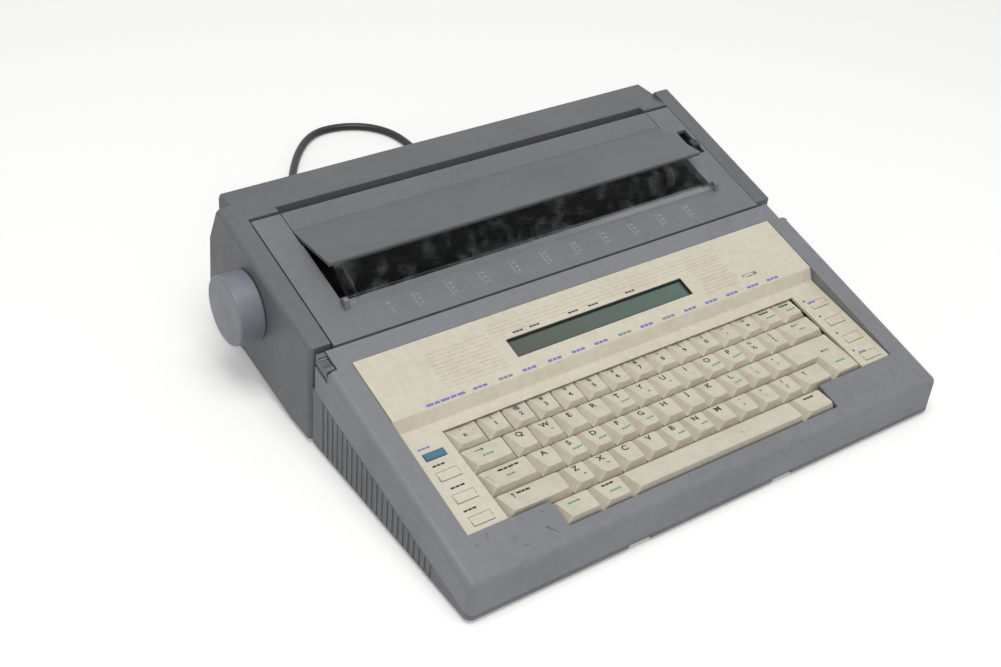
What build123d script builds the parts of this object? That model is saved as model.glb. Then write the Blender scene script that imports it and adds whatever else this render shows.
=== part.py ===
"""Portable electronic daisy-wheel typewriter with a one-line display.

Case frame: X to the right from the middle of the case, Y back from the front
edge, Z up from the table.  place() moves every finished piece so that the
origin is the bottom centre of the machine's bounding box.
"""
import os
from math import acos, atan, atan2, cos, degrees, hypot, pi, radians, sin, sqrt, tan

from build123d import *

# Driving dimensions, millimetres and degrees

foot_height = 3.0
foot_radius = 8.0
wall = 2.5
corner_radius = 5.0
running_gap = 0.05
sheet = 2.0

front_top_z = 29.8            # height of the deck plane at the front edge
deck_slope = 14.5             # front case, lid and cheeks lie in this plane
seam_front_z = 6.0            # seam between front case and tray, at the front
seam_slope = 13.0
seam_gap = 0.3

key_pitch = 19.05
key_units = 15.2845           # width of a full row of keys, in pitches
key_gap = 0.25                # taken off each side of a cap
key_front_y = 11.5
key_drop = 1.0                # key skirts start this far under the panel surface
key_skirt = 3.0               # cap skirts reach this far under the key plane
key_front_rise = 4.8          # front edge of a cap's top, in the front row
key_row_fall = 0.65           # each row further back is this much lower
key_top_slope = 14.0          # cap tops lean back against the slope of the keyboard
key_shell = 1.3
key_side_inset = 3.9
key_front_inset = 1.6
key_back_lean = 0.5
key_dish_depth = 0.5
stem_radius = 2.6
stem_root = 0.3               # a stem runs this far into the shell of its cap
stem_end_space = 0.2          # and ends this far over the underside of the key plate
collar_rise = 0.8
collar_wall = 1.2
long_bar = 60.0               # a cap wider than this is a bar with three stems
well_gap = 0.6
plate_drop = 7.5              # top of the key plate under the key plane
plate_thickness = 1.5
board_drop = 13.4             # top of the key board under the key plane
board_thickness = 1.6

left_column = 28.9            # panel beside the keys, with its column of buttons
right_column = 26.73
panel_margin = 18.1           # case beside the panel
panel_front_z = 36.2
panel_slope = 10.0
panel_thickness = 2.2
panel_gap = 0.3
step_space = 4.7              # panel between the back row of keys and the step
step_run = 4.0
ledge_width = 4.8
ledge_thickness = 2.0

display_space = 12.2          # panel between the step and the display
display_height = 15.0
display_half_width = 73.2
display_recess = 3.4
display_glass = 1.5
display_back_space = 20.8     # panel behind the display

cheek_proud = 1.5             # the rear housing stands this far outside the front case
tray_inset = 5.5              # the tray's rear part stands this far inside the front case
lid_space = 15.6              # case between panel and lid
lid_margin = 14.2             # case beside the lid
lid_thickness = 2.4
lid_gap_left = 1.0
lid_gap_right = 0.5
lid_front_gap = 1.8
lid_lip = 5.0
lid_depth = 109.0             # front edge of the lid to its hinge
window_margin = 21.9          # lid beside the window
window_front = 29.4           # lid in front of the window
window_depth = 61.0
centre_margin = 2.7           # the high part behind the lid is this much wider on each side

flap_overlap = 0.2            # the paper support covers this much beside the window
flap_rear_band = 16.6
flap_front_band = 47.0
flap_front_rise = 15.5        # front edge of the paper support above the deck plane
flap_open_gap = 0.6
flap_clear = 12.0             # the lid is cut away under the flap this far before its kink

housing_bottom_z = 4.0
cheek_foot = 25.0             # level length of the cheek's bottom edge
centre_depth = 43.4           # from the lid's hinge to the rear wall
cheek_back_space = 9.0        # the cheeks end this far before the rear wall
cheek_top_space = 25.0
cheek_round = 4.0
flange_depth = 14.0           # the opening's walls reach this far under the deck plane
knob_hole_radius = 8.0
hinge_pin_radius = 1.6
rear_lip_z = 24.0
groove_depth = 6.0
groove_width = 5.0

tray_back_space = 11.5
tray_back_z = 34.0
rib_pitch = 6.0
rib_depth = 0.6

visor_pivot_space = 4.0       # pivot in front of the window's edge
visor_pivot_rise = 3.4        # above the deck plane
visor_thickness = 1.8
visor_top_space = 2.6         # top edge in front of the paper support
visor_top_drop = 1.4          # and under it
visor_side_space = 2.5        # window beside the visor
visor_arm_width = 6.4
visor_pin_radius = 1.5
visor_foot = 4.4              # clear foot along the visor's front edge
visor_foot_thickness = 1.0

platen_space = 25.6           # platen axis in front of the lid's hinge
platen_depth = 36.6           # platen axis under the deck plane, upright
platen_radius = 15.5
platen_side_space = 5.4       # window beside the platen
shaft_radius = 4.0
knob_radius = 23.9
knob_width = 17.5
knob_gap = 0.8

gear_module = 1.0
platen_teeth = 44
idler_teeth = 24
pinion_teeth = 16
gear_space = 9.0              # gears outside the chassis
gear_width = 6.0
motor_space = 24.0            # feed motor behind the platen axis
motor_z = 25.0
motor_radius = 15.0
motor_length = 20.0

chassis_margin = 12.3         # lid beside the chassis
chassis_front_space = 73.0    # before the platen axis
chassis_back_space = 41.0     # behind it

front_rod_space = 63.0        # before the platen axis
front_rod_z = 24.0
rear_rod_space = 28.0
rear_rod_z = 15.5
rod_radius = 4.0
sleeve_radius = 7.0
sleeve_half_length = 30.0

wheel_radius = 28.0
wheel_petals = 32
wheel_gap = 3.1               # between wheel and platen
wheel_thickness = 1.4
print_rise = 3.3              # print point above the platen axis
print_radius = 26.5
ribbon_gap = 2.4              # between ribbon and platen
carriage_top_rise = 0.7       # the carriage's top edge under the platen axis
wheel_motor_radius = 17.0
wheel_motor_length = 24.0

belt_space = 47.0             # belt before the platen axis
belt_z = 8.6
belt_width = 5.0
belt_thickness = 1.2
pulley_radius = 6.5
pulley_space = 14.0           # pulleys inside the chassis

feed_roller_radius = 6.0
feed_roller_angle = -105.0
feed_roller_gap = 0.2

cord_diameter = 6.5
cord_exit_x = -62.0
cord_exit_z = 15.0
relief_length = 34.0

# Places worked out from the driving dimensions

tray_bottom_z = foot_height
floor_z = tray_bottom_z + wall
row_run = key_pitch * cos(radians(panel_slope))

keys_width = key_units * key_pitch
panel_half_width = (left_column + keys_width + right_column) / 2
key_left_x = left_column - panel_half_width
case_width = 2 * (panel_half_width + panel_margin)
cheek_width = case_width + 2 * cheek_proud
tray_inset_half_width = case_width / 2 - tray_inset
lid_half_width = case_width / 2 - lid_margin
centre_half_width = lid_half_width + centre_margin
window_half_width = lid_half_width - window_margin
flap_half_width = window_half_width + flap_overlap
visor_half_width = window_half_width - visor_side_space - visor_arm_width
platen_half_length = window_half_width - platen_side_space
chassis_half_width = lid_half_width - chassis_margin
gear_x = -chassis_half_width - gear_space
pulley_x = chassis_half_width - pulley_space
knob_back_x = -cheek_width / 2 - knob_gap
knob_face_x = knob_back_x - knob_width

panel_front_y = key_front_y + row_run - 0.26
panel_step_low_y = key_front_y + 5 * row_run + step_space
panel_step_high_y = panel_step_low_y + step_run
display_low_y = panel_step_high_y + display_space
display_high_y = display_low_y + display_height
panel_back_y = display_high_y + display_back_space
lid_front_y = panel_back_y + lid_space
cheek_front_y = lid_front_y + 2.4
cheek_rise_y = cheek_front_y + cheek_foot
hinge_y = lid_front_y + lid_depth
window_front_y = lid_front_y + window_front
window_back_y = window_front_y + window_depth
flap_kink_y = hinge_y - flap_rear_band
flap_front_y = flap_kink_y - flap_front_band
flap_clear_y = flap_kink_y - flap_clear
visor_pivot_y = window_front_y - visor_pivot_space
visor_top_y = flap_front_y - visor_top_space
case_depth = hinge_y + centre_depth
cheek_back_y = case_depth - cheek_back_space
cheek_top_y = case_depth - cheek_top_space
tray_back_y = case_depth - tray_back_space
platen_y = hinge_y - platen_space
motor_y = platen_y + motor_space
chassis_front_y = platen_y - chassis_front_space
chassis_back_y = platen_y + chassis_back_space
front_rod_y = platen_y - front_rod_space
rear_rod_y = platen_y - rear_rod_space
belt_y = platen_y - belt_space
wheel_y = platen_y - platen_radius - wheel_gap - wheel_thickness
wheel_motor_front_y = wheel_y - 3 - wheel_motor_length
ribbon_y = platen_y - platen_radius - ribbon_gap

key_front_z = (panel_front_z + (key_front_y - panel_front_y) * tan(radians(panel_slope))
               - key_drop / cos(radians(panel_slope)))
middle_x = (knob_face_x + cheek_width / 2) / 2
middle_y = case_depth / 2


def deck_z(y):
    """Height of the deck plane at a depth."""
    return front_top_z + y * tan(radians(deck_slope))


def seam_z(y):
    """Height of the seam between the front case and the tray."""
    return seam_front_z + y * tan(radians(seam_slope))


def panel_z(y):
    """Height of the keyboard part of the panel."""
    return panel_front_z + (y - panel_front_y) * tan(radians(panel_slope))


def deck_point(y, depth):
    """A point depth mm under the deck plane, square to it, below the point at y."""
    return (y + depth * sin(radians(deck_slope)), deck_z(y) - depth * cos(radians(deck_slope)))


hinge_point = deck_point(hinge_y, lid_thickness)
lid_back_y = hinge_point[0] + lid_thickness + 0.5
groove_back_y = lid_back_y + groove_width
rear_top_z = deck_z(lid_back_y) + 0.2
flap_front_z = deck_z(flap_front_y) + flap_front_rise
visor_top_z = flap_front_z - visor_top_drop
platen_z = deck_z(platen_y) - platen_depth
print_z = platen_z + print_rise
wheel_z = print_z - print_radius
carriage_top_z = platen_z - carriage_top_rise
platen_point = (platen_y, platen_z)
motor_point = (motor_y, motor_z)
visor_pivot = (visor_pivot_y, deck_z(visor_pivot_y) + visor_pivot_rise)
key_plane = Plane(origin=(key_left_x, key_front_y, key_front_z), x_dir=(1, 0, 0),
                  z_dir=(0, -sin(radians(panel_slope)), cos(radians(panel_slope))))


# Helpers

def box(x0, x1, y0, y1, z0, z1):
    return Pos((x0 + x1) / 2, (y0 + y1) / 2, (z0 + z1) / 2) * Box(x1 - x0, y1 - y0, z1 - z0)


def prism(points, x0, x1):
    """A side outline, given as (y, z) points, carried from x0 to x1."""
    face = Plane.YZ.offset(x0) * Polygon(*points, align=None)
    return extrude(face, amount=x1 - x0, dir=(1, 0, 0))


def rod_x(y, z, radius, x0, x1):
    return Pos((x0 + x1) / 2, y, z) * Rot(0, 90, 0) * Cylinder(radius, x1 - x0)


def rod_y(x, z, radius, y0, y1):
    return Pos(x, (y0 + y1) / 2, z) * Rot(90, 0, 0) * Cylinder(radius, y1 - y0)


def rod_z(x, y, radius, z0, z1):
    return Pos(x, y, (z0 + z1) / 2) * Cylinder(radius, z1 - z0)


def key_box(x0, x1, s0, s1, t0, t1):
    """A box in the key plane: x from the left key edge, s up the slope, t square to it."""
    return key_plane * box(x0, x1, s0, s1, t0, t1)


def deck_slab(x0, x1, y0, y1, top, bottom):
    """A slab between two depths under the deck plane, with ends square to the table."""
    lean = cos(radians(deck_slope))
    points = [(y0, deck_z(y0) - top / lean), (y1, deck_z(y1) - top / lean),
              (y1, deck_z(y1) - bottom / lean), (y0, deck_z(y0) - bottom / lean)]
    return prism(points, x0, x1)


def group(solids):
    """Separate solids that share one node."""
    return Compound(children=[part for solid in solids for part in solid.solids()])


def place(shape):
    return Pos(-middle_x, -middle_y, 0) * shape


# Lower case

boss_x = case_width / 2 - 13.5
rear_boss_x = tray_inset_half_width - 14.0
foot_x = case_width / 2 - 41.5
boss_places = [(x, y) for y in (22.0, lid_front_y - 9.6) for x in (-boss_x, boss_x)]
rear_boss_places = [(x, tray_back_y - 9.5) for x in (-rear_boss_x, rear_boss_x)]
foot_places = [(x, y) for y in (28.0, tray_back_y - 28.5) for x in (-foot_x, foot_x)]
boss_radius = 4.2
boss_top_z = 14.0
screw_radius = 1.5
screw_hole_radius = 1.7
screw_head_radius = 3.2
plate_post_x = panel_half_width - 15.4
plate_post_back = 5 * key_pitch + 0.75
plate_post_places = [(-plate_post_x, 6.0), (0.0, 6.0), (plate_post_x, 6.0),
                     (-plate_post_x, plate_post_back), (0.0, plate_post_back + 1.5),
                     (plate_post_x, plate_post_back)]
plate_post_radius = 3.5
main_board_left, main_board_front = 27.5 - case_width / 2, panel_step_high_y + 2
main_board_width, main_board_depth = 138.0, 62.0
main_board_right, main_board_back = main_board_left + main_board_width, main_board_front + main_board_depth
board_corners = [(x, y) for y in (main_board_front + 5, main_board_back - 5)
                 for x in (main_board_left + 6, main_board_right - 6)]
board_z = 13.0


def front_pocket(x0, x1):
    """One of the two finger notches under the front edge."""
    return box(x0, x1, -1, 1.6, tray_bottom_z - 1, tray_bottom_z + 2.6)


def side_ribs():
    """Fine upright ribs on both sides of the tray, under the seam."""
    ribs = []
    half = case_width / 2
    count = int((cheek_front_y - 46) // rib_pitch)
    for side in (-1, 1):
        for step in range(count):
            y = 40 + step * rib_pitch
            top = seam_z(y) - 1.2
            low, high = sorted((side * (half - 0.5), side * (half + rib_depth)))
            ribs.append(box(low, high, y - 0.5, y + 0.5, tray_bottom_z + 1.2, top))
    return ribs


def plate_post(place_x, place_s):
    """A post from the tray floor to the underside of the key plate."""
    foot = key_plane.from_local_coords((place_x - key_left_x, place_s, 0))
    post = rod_z(place_x, foot.Y, plate_post_radius, floor_z, foot.Z + 10)
    above = key_box(-60, 350, -40, 140, -plate_drop - plate_thickness, 60)
    return post - above


def make_base_tray():
    half = case_width / 2
    bottom = tray_bottom_z
    back = cheek_front_y - 1
    front = prism([(0, bottom), (back, bottom), (back, seam_z(back)), (0, seam_front_z)], -half, half)
    front = fillet(front.edges().filter_by(Axis.Z).group_by(Axis.Y)[0], corner_radius)
    rear = box(-tray_inset_half_width, tray_inset_half_width, cheek_front_y - 20, tray_back_y,
               bottom, tray_back_z)
    hollow = box(-half + wall, half - wall, wall, back - wall, floor_z, 90)
    inner = tray_inset_half_width - wall
    hollow += box(-inner, inner, cheek_front_y - 30, tray_back_y - wall, floor_z, 90)
    tray = front + rear - hollow
    tray += side_ribs()
    for x, y in boss_places + rear_boss_places:
        tray += rod_z(x, y, boss_radius, floor_z - 0.5, boss_top_z)
        tray -= rod_z(x, y, screw_hole_radius, 0, boss_top_z + 1)
        tray -= rod_z(x, y, screw_head_radius + 0.3, 0, floor_z - 0.2)
    for x, s in plate_post_places:
        tray += plate_post(x, s)
    for x, y in board_corners:
        tray += rod_z(x, y, 3.0, floor_z - 0.5, board_z)
    tray -= front_pocket(-75, -58)
    tray -= front_pocket(43, 60)
    tray -= rod_y(cord_exit_x, cord_exit_z, relief_neck_radius, tray_back_y - 10, tray_back_y + 10)
    return tray


def make_rubber_feet():
    return group([rod_z(x, y, foot_radius, 0, foot_height) for x, y in foot_places])


def make_case_screws():
    screws = []
    for x, y in boss_places + rear_boss_places:
        head = rod_z(x, y, screw_head_radius, floor_z - 2.2, floor_z - 0.2)
        screws.append(head + rod_z(x, y, screw_radius, floor_z - 0.3, boss_top_z + 9))
    return group(screws)


# Upper case, front

switch_high_y = lid_front_y - 1.6
switch_low_y = switch_high_y - 14.0
switch_out_x = 0.6 - case_width / 2
switch_in_x = switch_out_x + 5.7
switch_gap = 1.4
switch_axis_drop = 4.4
notch_in_x = case_width / 2 - 7.1
row_five_left = 1.496 * key_pitch
row_five_right = 13.0656 * key_pitch
well_right = keys_width


def make_front_case():
    half = case_width / 2
    back = lid_front_y - lid_front_gap
    outer = prism([(0, seam_front_z + seam_gap), (back, seam_z(back) + seam_gap), (back, deck_z(back)),
                   (0, front_top_z)], -half, half)
    top_edges = outer.edges().filter_by(lambda e: abs(e.center().Z - deck_z(e.center().Y)) < 0.01)
    front_side = outer.edges().filter_by(Axis.Z).group_by(Axis.Y)[0]
    rounded = [e for e in top_edges if e.center().Y < back - 1] + list(front_side)
    outer = fillet(rounded, corner_radius)
    drop = wall / cos(radians(deck_slope))
    inner = prism([(wall, 0), (back + 5, 0), (back + 5, deck_z(back + 5) - drop),
                   (wall, deck_z(wall) - drop)], -half + wall, half - wall)
    case = outer - inner
    # walls and ledge that carry the panel
    hole = panel_half_width + panel_gap + 0.3
    rim = hole + 2.2
    under = [(panel_front_y - 3, panel_z(panel_front_y - 3)), (panel_step_low_y, panel_z(panel_step_low_y)),
             (panel_step_high_y, deck_z(panel_step_high_y)), (panel_back_y + 3, deck_z(panel_back_y + 3))]
    low = panel_thickness + 0.3
    bed = prism([(y, z - low) for y, z in under] + [(y, z - low - ledge_thickness) for y, z in under[::-1]],
                -rim, rim)
    bed_half = hole - ledge_width
    bed -= box(-bed_half, bed_half, panel_front_y + 2, panel_back_y - ledge_width, 0, 120)
    case += bed
    for side in (-1, 1):
        x0, x1 = sorted((side * hole, side * rim))
        case += prism([(panel_front_y - 3, deck_z(panel_front_y - 3) - 1),
                       (panel_back_y + 3, deck_z(panel_back_y + 3) - 1)]
                      + [(y, z - low - 1) for y, z in under[::-1]], x0, x1)
    case -= box(-hole, hole, panel_front_y - panel_gap, panel_back_y + panel_gap, 0, 120) \
        & prism([(y, z - low) for y, z in under] + [(panel_back_y + 3, 130), (panel_front_y - 3, 130)],
                -hole, hole)
    # keyboard opening
    case -= key_box(-well_gap, well_right + well_gap, key_pitch - well_gap, 140, -12, 30) \
        & box(-hole, hole, 0, panel_back_y - ledge_width, 0, 120)
    case -= key_box(row_five_left - well_gap, row_five_right + well_gap, -well_gap, key_pitch + 2,
                    -12, 30)
    case += ledge_under_lid(half)
    case = cut_side_notches(case, half)
    for x, y in boss_places:
        post = rod_z(x, y, boss_radius - 0.6, boss_top_z + 0.3, deck_z(y) - 2)
        case += post - rod_z(x, y, screw_radius + 0.1, 0, boss_top_z + 10)
    return case


def ledge_under_lid(half):
    """The cross rail that the front edge of the lid closes on."""
    y0, y1 = lid_front_y - 2.8, lid_front_y + 8
    top = lid_lip + lid_thickness + 0.3
    inner = lid_half_width - 1
    rail = deck_slab(-inner, inner, y0 + 1, y1, top, top + 2)
    web = deck_slab(-half + wall, half - wall, y0, lid_front_y - lid_front_gap, 1, top + 2)
    return rail + web


def cut_side_notches(case, half):
    """A notch in each side: the left one holds the power switch, the right one is empty."""
    y0, y1 = switch_low_y - switch_gap, lid_front_y
    for side in (-1, 1):
        inner, outer = side * notch_in_x, side * (half + 1)
        floor_in, floor_out = side * (notch_in_x - 2), side * (half - 0.6)
        depth = switch_axis_drop + 4.8
        x0, x1 = sorted((floor_in, floor_out))
        case += deck_slab(x0, x1, y0 - 2, lid_front_y - lid_front_gap, 1.5, depth + 2)
        x0, x1 = sorted((inner, outer))
        case -= deck_slab(x0, x1, y0, y1, -3, depth)
    bore_y, bore_z = switch_axis()
    return case - rod_x(bore_y, bore_z, 1.26, -notch_in_x - 1, -notch_in_x + 3)


def switch_axis():
    return deck_point((switch_low_y + switch_high_y) / 2 - 1.1, switch_axis_drop)


def make_power_switch():
    y0, y1 = switch_low_y, switch_high_y
    body = deck_slab(switch_out_x, switch_in_x, y0, y1, 0.6, switch_axis_drop + 2.6)
    grip_y, grip_z = deck_point((y0 + y1) / 2, -9.6)
    body -= rod_x(grip_y, grip_z, 11.2, switch_out_x - 1, switch_in_x + 1)
    for step in range(5):
        y = y0 + 3.4 + step * 1.8
        body -= deck_slab(switch_out_x - 1, switch_in_x + 1, y, y + 0.6, -3, 1.9)
    axle_y, axle_z = switch_axis()
    return body + rod_x(axle_y, axle_z, 1.2, switch_in_x - 1, -notch_in_x + 2)


# Panel, display and buttons

contrast_x = display_half_width + 51.3
contrast_y = display_low_y - 0.9
contrast_radius = 8.0
contrast_thickness = 1.8
contrast_depth = 7.5
contrast_slot = 13.2
button_left_x = 14.4 - panel_half_width
button_right_x = panel_half_width - 12.2
button_width = 14.4
button_length = 6.8
left_button_s = [key_pitch * rows for rows in (3.102, 2.147, 1.213)]
right_button_s = [key_pitch * rows for rows in (4.016, 3.081, 2.136, 1.192)]
alt_s = key_pitch * 3.984
alt_length = 5.3
alt_crown = 0.7
button_lip = 0.8
button_gap = 0.3
button_stem_gap = 2.2


def panel_outline(offset):
    """Side outline of the panel's surface, dropped by an offset."""
    return [(panel_front_y, panel_z(panel_front_y) - offset),
            (panel_step_low_y, panel_z(panel_step_low_y) - offset),
            (panel_step_high_y, deck_z(panel_step_high_y) - offset),
            (panel_back_y, deck_z(panel_back_y) - offset)]


def contrast_plane():
    """Plane across the contrast wheel: its Z runs up the deck slope."""
    y, z = deck_point(contrast_y, contrast_depth)
    slope = radians(deck_slope)
    return Plane(origin=(contrast_x, y, z), x_dir=(1, 0, 0), z_dir=(0, cos(slope), sin(slope)))


def make_keyboard_panel():
    top = panel_outline(0)
    low = panel_outline(panel_thickness)
    panel = prism(top + low[::-1], -panel_half_width, panel_half_width)
    step_edges = panel.edges().filter_by(Axis.X).filter_by(
        lambda e: abs(e.center().Y - panel_step_low_y) < 0.1 or abs(e.center().Y - panel_step_high_y) < 0.1)
    panel = fillet(step_edges, 1.6)
    panel -= key_box(-well_gap, well_right + well_gap, key_pitch - 30, 5 * key_pitch + well_gap, -9, 30)
    for x, rows in ((button_left_x, left_button_s), (button_right_x, right_button_s)):
        for s in rows:
            centre = x - key_left_x
            reach = button_width / 2 + button_gap
            panel -= key_box(centre - reach, centre + reach,
                             s - button_gap, s + button_length + button_gap, -9, 9)
    reach = button_width / 2 + button_gap
    centre = button_left_x - key_left_x
    panel -= key_box(centre - reach, centre + reach,
                     alt_s - button_gap, alt_s + alt_length + button_gap, -9, 9)
    half = display_half_width
    bezel = deck_slab(-half - 1.6, half + 1.6, display_low_y - 1.6, display_high_y + 1.6,
                      panel_thickness - 0.2, display_recess + display_glass)
    panel += bezel
    panel -= deck_slab(-half, half, display_low_y, display_high_y, -2, display_recess + display_glass + 1)
    panel -= deck_slab(contrast_x - contrast_slot / 2, contrast_x + contrast_slot / 2,
                       contrast_y - 1.4, contrast_y + 1.4, -2, panel_thickness + 2)
    for rib in panel_ribs():
        panel += rib
    return panel


def panel_ribs():
    """Fine raised lines beside and above the display."""
    rise, sunk, width, pitch = 0.35, 0.4, 0.8, 3.0
    beside = display_half_width + 10
    far_right = display_half_width + 39.8
    blocks = [(10, display_low_y - 3.7, -display_half_width - 55.8, -beside),
              (4, display_high_y + 4.3, -display_half_width - 6.8, far_right),
              (9, display_low_y - 3.7, beside + 0.8, far_right)]
    return [deck_slab(x0, x1, y + step * pitch, y + step * pitch + width, -rise, sunk)
            for count, y, x0, x1 in blocks for step in range(count)]


def make_lcd_window():
    half = display_half_width - 0.1
    top = display_recess
    return deck_slab(-half, half, display_low_y + 0.1, display_high_y - 0.1, top, top + display_glass)


def make_lcd_module():
    top = display_recess + display_glass + 0.1
    below = panel_thickness + 0.2
    half = display_half_width
    board_top = below + 3.4
    module = deck_slab(0.7 - half, half - 0.7, display_low_y + 0.6, display_high_y - 0.6, top, board_top + 1)
    module += deck_slab(-half - 5.8, half + 5.8, display_low_y - 5, display_high_y + 5,
                        board_top, board_top + 1.8)
    module += deck_slab(half + 4.8, half + 64.8, display_low_y - 7.7, display_low_y + 7.3, 18.0, 19.6)
    module += deck_slab(half + 1.8, half + 8.8, display_low_y - 5.2, display_low_y + 7.3,
                        board_top + 0.4, 19.0)
    plane = contrast_plane()
    for side in (-1, 1):
        ear = plane * (Pos(0, 4.4, side * 2.6) * Box(7, 12.8, 1.6))
        ear -= plane * (Pos(0, 0, side * 2.6) * Cylinder(1.26, 6))
        module += ear
    return module


def make_contrast_wheel():
    plane = contrast_plane()
    wheel = Cylinder(contrast_radius, contrast_thickness)
    for step in range(36):
        wheel -= Rot(0, 0, step * 10) * Pos(contrast_radius, 0, 0) * Cylinder(0.35, contrast_thickness + 1)
    wheel += Cylinder(1.2, 7.2)
    return plane * wheel


def button(centre_x, s, length, lip):
    """A button in the key plane, with its lip or crown and its stem."""
    reach = button_width / 2
    x0, x1 = centre_x - key_left_x - reach, centre_x - key_left_x + reach
    top = key_drop
    cap = box(x0, x1, s, s + length, top - panel_thickness, top + lip[0])
    if lip[1]:
        cap += box(x0, x1, s, s + 1.3, top - 0.2, top + lip[1])
        cap += box(x0, x0 + 1.1, s, s + 3.4, top - 0.2, top + lip[1] * 0.8)
    stem_top = top - panel_thickness + 0.2
    cap += box((x0 + x1) / 2 - 1.5, (x0 + x1) / 2 + 1.5, s + length / 2 - 1, s + length / 2 + 1,
               -plate_drop + button_stem_gap, stem_top)
    return key_plane * cap


def make_alt_button():
    return button(button_left_x, alt_s, alt_length, (alt_crown, 0))


def make_function_buttons():
    return group([button(button_left_x, s, button_length, (0, button_lip)) for s in left_button_s])


def make_arrow_buttons():
    return group([button(button_right_x, s, button_length, (0, button_lip)) for s in right_button_s])


# Keys

unit_row_starts = {row: pitches * key_pitch for row, pitches in
                   {1: 1.2845, 2: 1.7102, 3: 1.9596, 4: 2.5118}.items()}
unit_row_counts = {1: 14, 2: 12, 3: 11, 4: 10}


return_left = 12.9596 * key_pitch
return_leg = 13.958 * key_pitch
stem_y = key_pitch / 2 + 1
return_stems = (stem_y, key_pitch + stem_y)


def row_start(row):
    """Distance up the slope of the front edge of a row, rows counted from the back."""
    return (5 - row) * key_pitch


def cap_rise(row):
    """Height of the front edge of a cap's top over the key plane."""
    return key_front_rise - key_row_fall * (5 - row)


def cap_back_inset(rise):
    """How far the leaning back of a cap has come forward at a height."""
    return key_gap + key_back_lean * (rise + key_skirt)


def cap_shape(width, rise, inset):
    """A cap's tapered body before its top is cut, inset all round for its hollow."""
    low_x = width / 2 - key_gap - inset
    low_y0, low_y1 = key_gap + inset, key_pitch - key_gap - inset
    high_x = width / 2 - key_side_inset - inset
    high_y0, high_y1 = key_front_inset + inset, key_pitch - cap_back_inset(rise) - inset
    low = Pos(0, (low_y0 + low_y1) / 2, -key_skirt) * RectangleRounded(2 * low_x, low_y1 - low_y0, 0.8)
    high = Pos(0, (high_y0 + high_y1) / 2, rise) * RectangleRounded(2 * high_x, high_y1 - high_y0, 1.6)
    return loft([low, high])


def stem(x, y, top):
    low = -plate_drop - plate_thickness + stem_end_space
    return Pos(x, y, (low + top) / 2) * Cylinder(stem_radius, top - low)


def stem_offsets(width):
    """A cap has one stem in the middle, and a long bar has three."""
    return (0,) if width < long_bar else (-width / 2 + 12, 0, width / 2 - 12)


def top_cut(width, rise, slope=key_top_slope):
    """All that lies over a cap's top. It leans back, and is hollowed on all but the long bars."""
    if width < long_bar:
        half = width / 2 - key_side_inset
        radius = (half ** 2 + key_dish_depth ** 2) / (2 * key_dish_depth)
        tool = Pos(0, key_pitch / 2, radius - key_dish_depth) * Rot(90, 0, 0) \
            * Cylinder(radius, 2 * key_pitch)
    else:
        tool = Pos(0, key_pitch / 2, key_pitch / 2) * Box(1.2 * width, 3 * key_pitch, key_pitch)
    return Pos(0, key_front_inset, rise) * Rot(-slope, 0, 0) * tool


def cap_underside(y, rise, slope, hollow):
    """Height under the shell of a cap's top, a little inside the shell, where a stem joins it."""
    return rise - (y - key_front_inset) * tan(radians(slope)) - hollow - key_shell + stem_root


def key_cap(x0, x1, row):
    """One cap from its left and right edge, counted from the left edge of the keys."""
    width = x1 - x0
    rise = cap_rise(row)
    hollow = key_dish_depth if width < long_bar else 0
    cap = cap_shape(width, rise, 0) - top_cut(width, rise)
    inside = cap_shape(width, rise, key_shell) - top_cut(width, rise - key_shell)
    cap -= inside
    for offset in stem_offsets(width):
        cap += stem(offset, stem_y, cap_underside(stem_y, rise, key_top_slope, hollow))
    return key_plane * Pos((x0 + x1) / 2, row_start(row), 0) * cap


def unit_edges(row):
    """Left and right edge of each letter and figure cap of a row."""
    start = unit_row_starts[row]
    return [(start + i * key_pitch, start + (i + 1) * key_pitch) for i in range(unit_row_counts[row])]


def unit_row(row):
    """The letter and figure caps of one row; the back row starts with a wider one."""
    edges = unit_edges(row)
    if row == 1:
        edges.append((0, unit_row_starts[1]))
    return group([key_cap(x0, x1, row) for x0, x1 in edges])


def make_return_key():
    """The return cap, wide in its upper row with a leg into the row below, under one leaning top."""
    left, leg, right = return_left, return_leg, well_right
    s0, s1, s2 = row_start(4), row_start(3), row_start(3) + key_pitch
    rise = cap_rise(4)
    back_rise = cap_rise(3) - (key_pitch - key_front_inset) * tan(radians(key_top_slope))
    slope = degrees(atan((rise - back_rise) / (2 * key_pitch - key_front_inset)))

    def outline(side, front, back):
        return [(left + side, s1 + front), (leg + side, s1 + front), (leg + side, s0 + front),
                (right - side, s0 + front), (right - side, s2 - back), (left + side, s2 - back)]

    def shell(inset):
        gap = key_gap + inset
        low = Pos(0, 0, -key_skirt) * Polygon(*outline(gap, gap, gap), align=None)
        high = Pos(0, 0, rise) * Polygon(*outline(key_side_inset + inset, key_front_inset + inset,
                                                  cap_back_inset(rise) + inset), align=None)
        over = Pos((left + right) / 2, s0, 0) * top_cut(long_bar, rise - inset, slope)
        return loft([low, high]) - over

    cap = shell(0) - shell(key_shell)
    for y in return_stems:
        cap += stem((leg + right) / 2, s0 + y, cap_underside(y, rise, slope, 0))
    return key_plane * cap


word_left = row_five_left + 1.4488 * key_pitch
space_left = word_left + 1.2389 * key_pitch
space_right = space_left + 7.4436 * key_pitch
special_keys = {
    "tab_key": (0, unit_row_starts[2], 2), "shift_lock_key": (0, unit_row_starts[3], 3),
    "left_shift_key": (0, unit_row_starts[4], 4),
    "right_shift_key": (unit_edges(4)[-1][1], return_leg, 4),
    "backspace_key": (unit_edges(2)[-1][1], well_right, 2),
    "code_key": (row_five_left, word_left, 5), "word_key": (word_left, space_left, 5),
    "space_bar": (space_left, space_right, 5), "correct_key": (space_right, row_five_right, 5),
}


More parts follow.
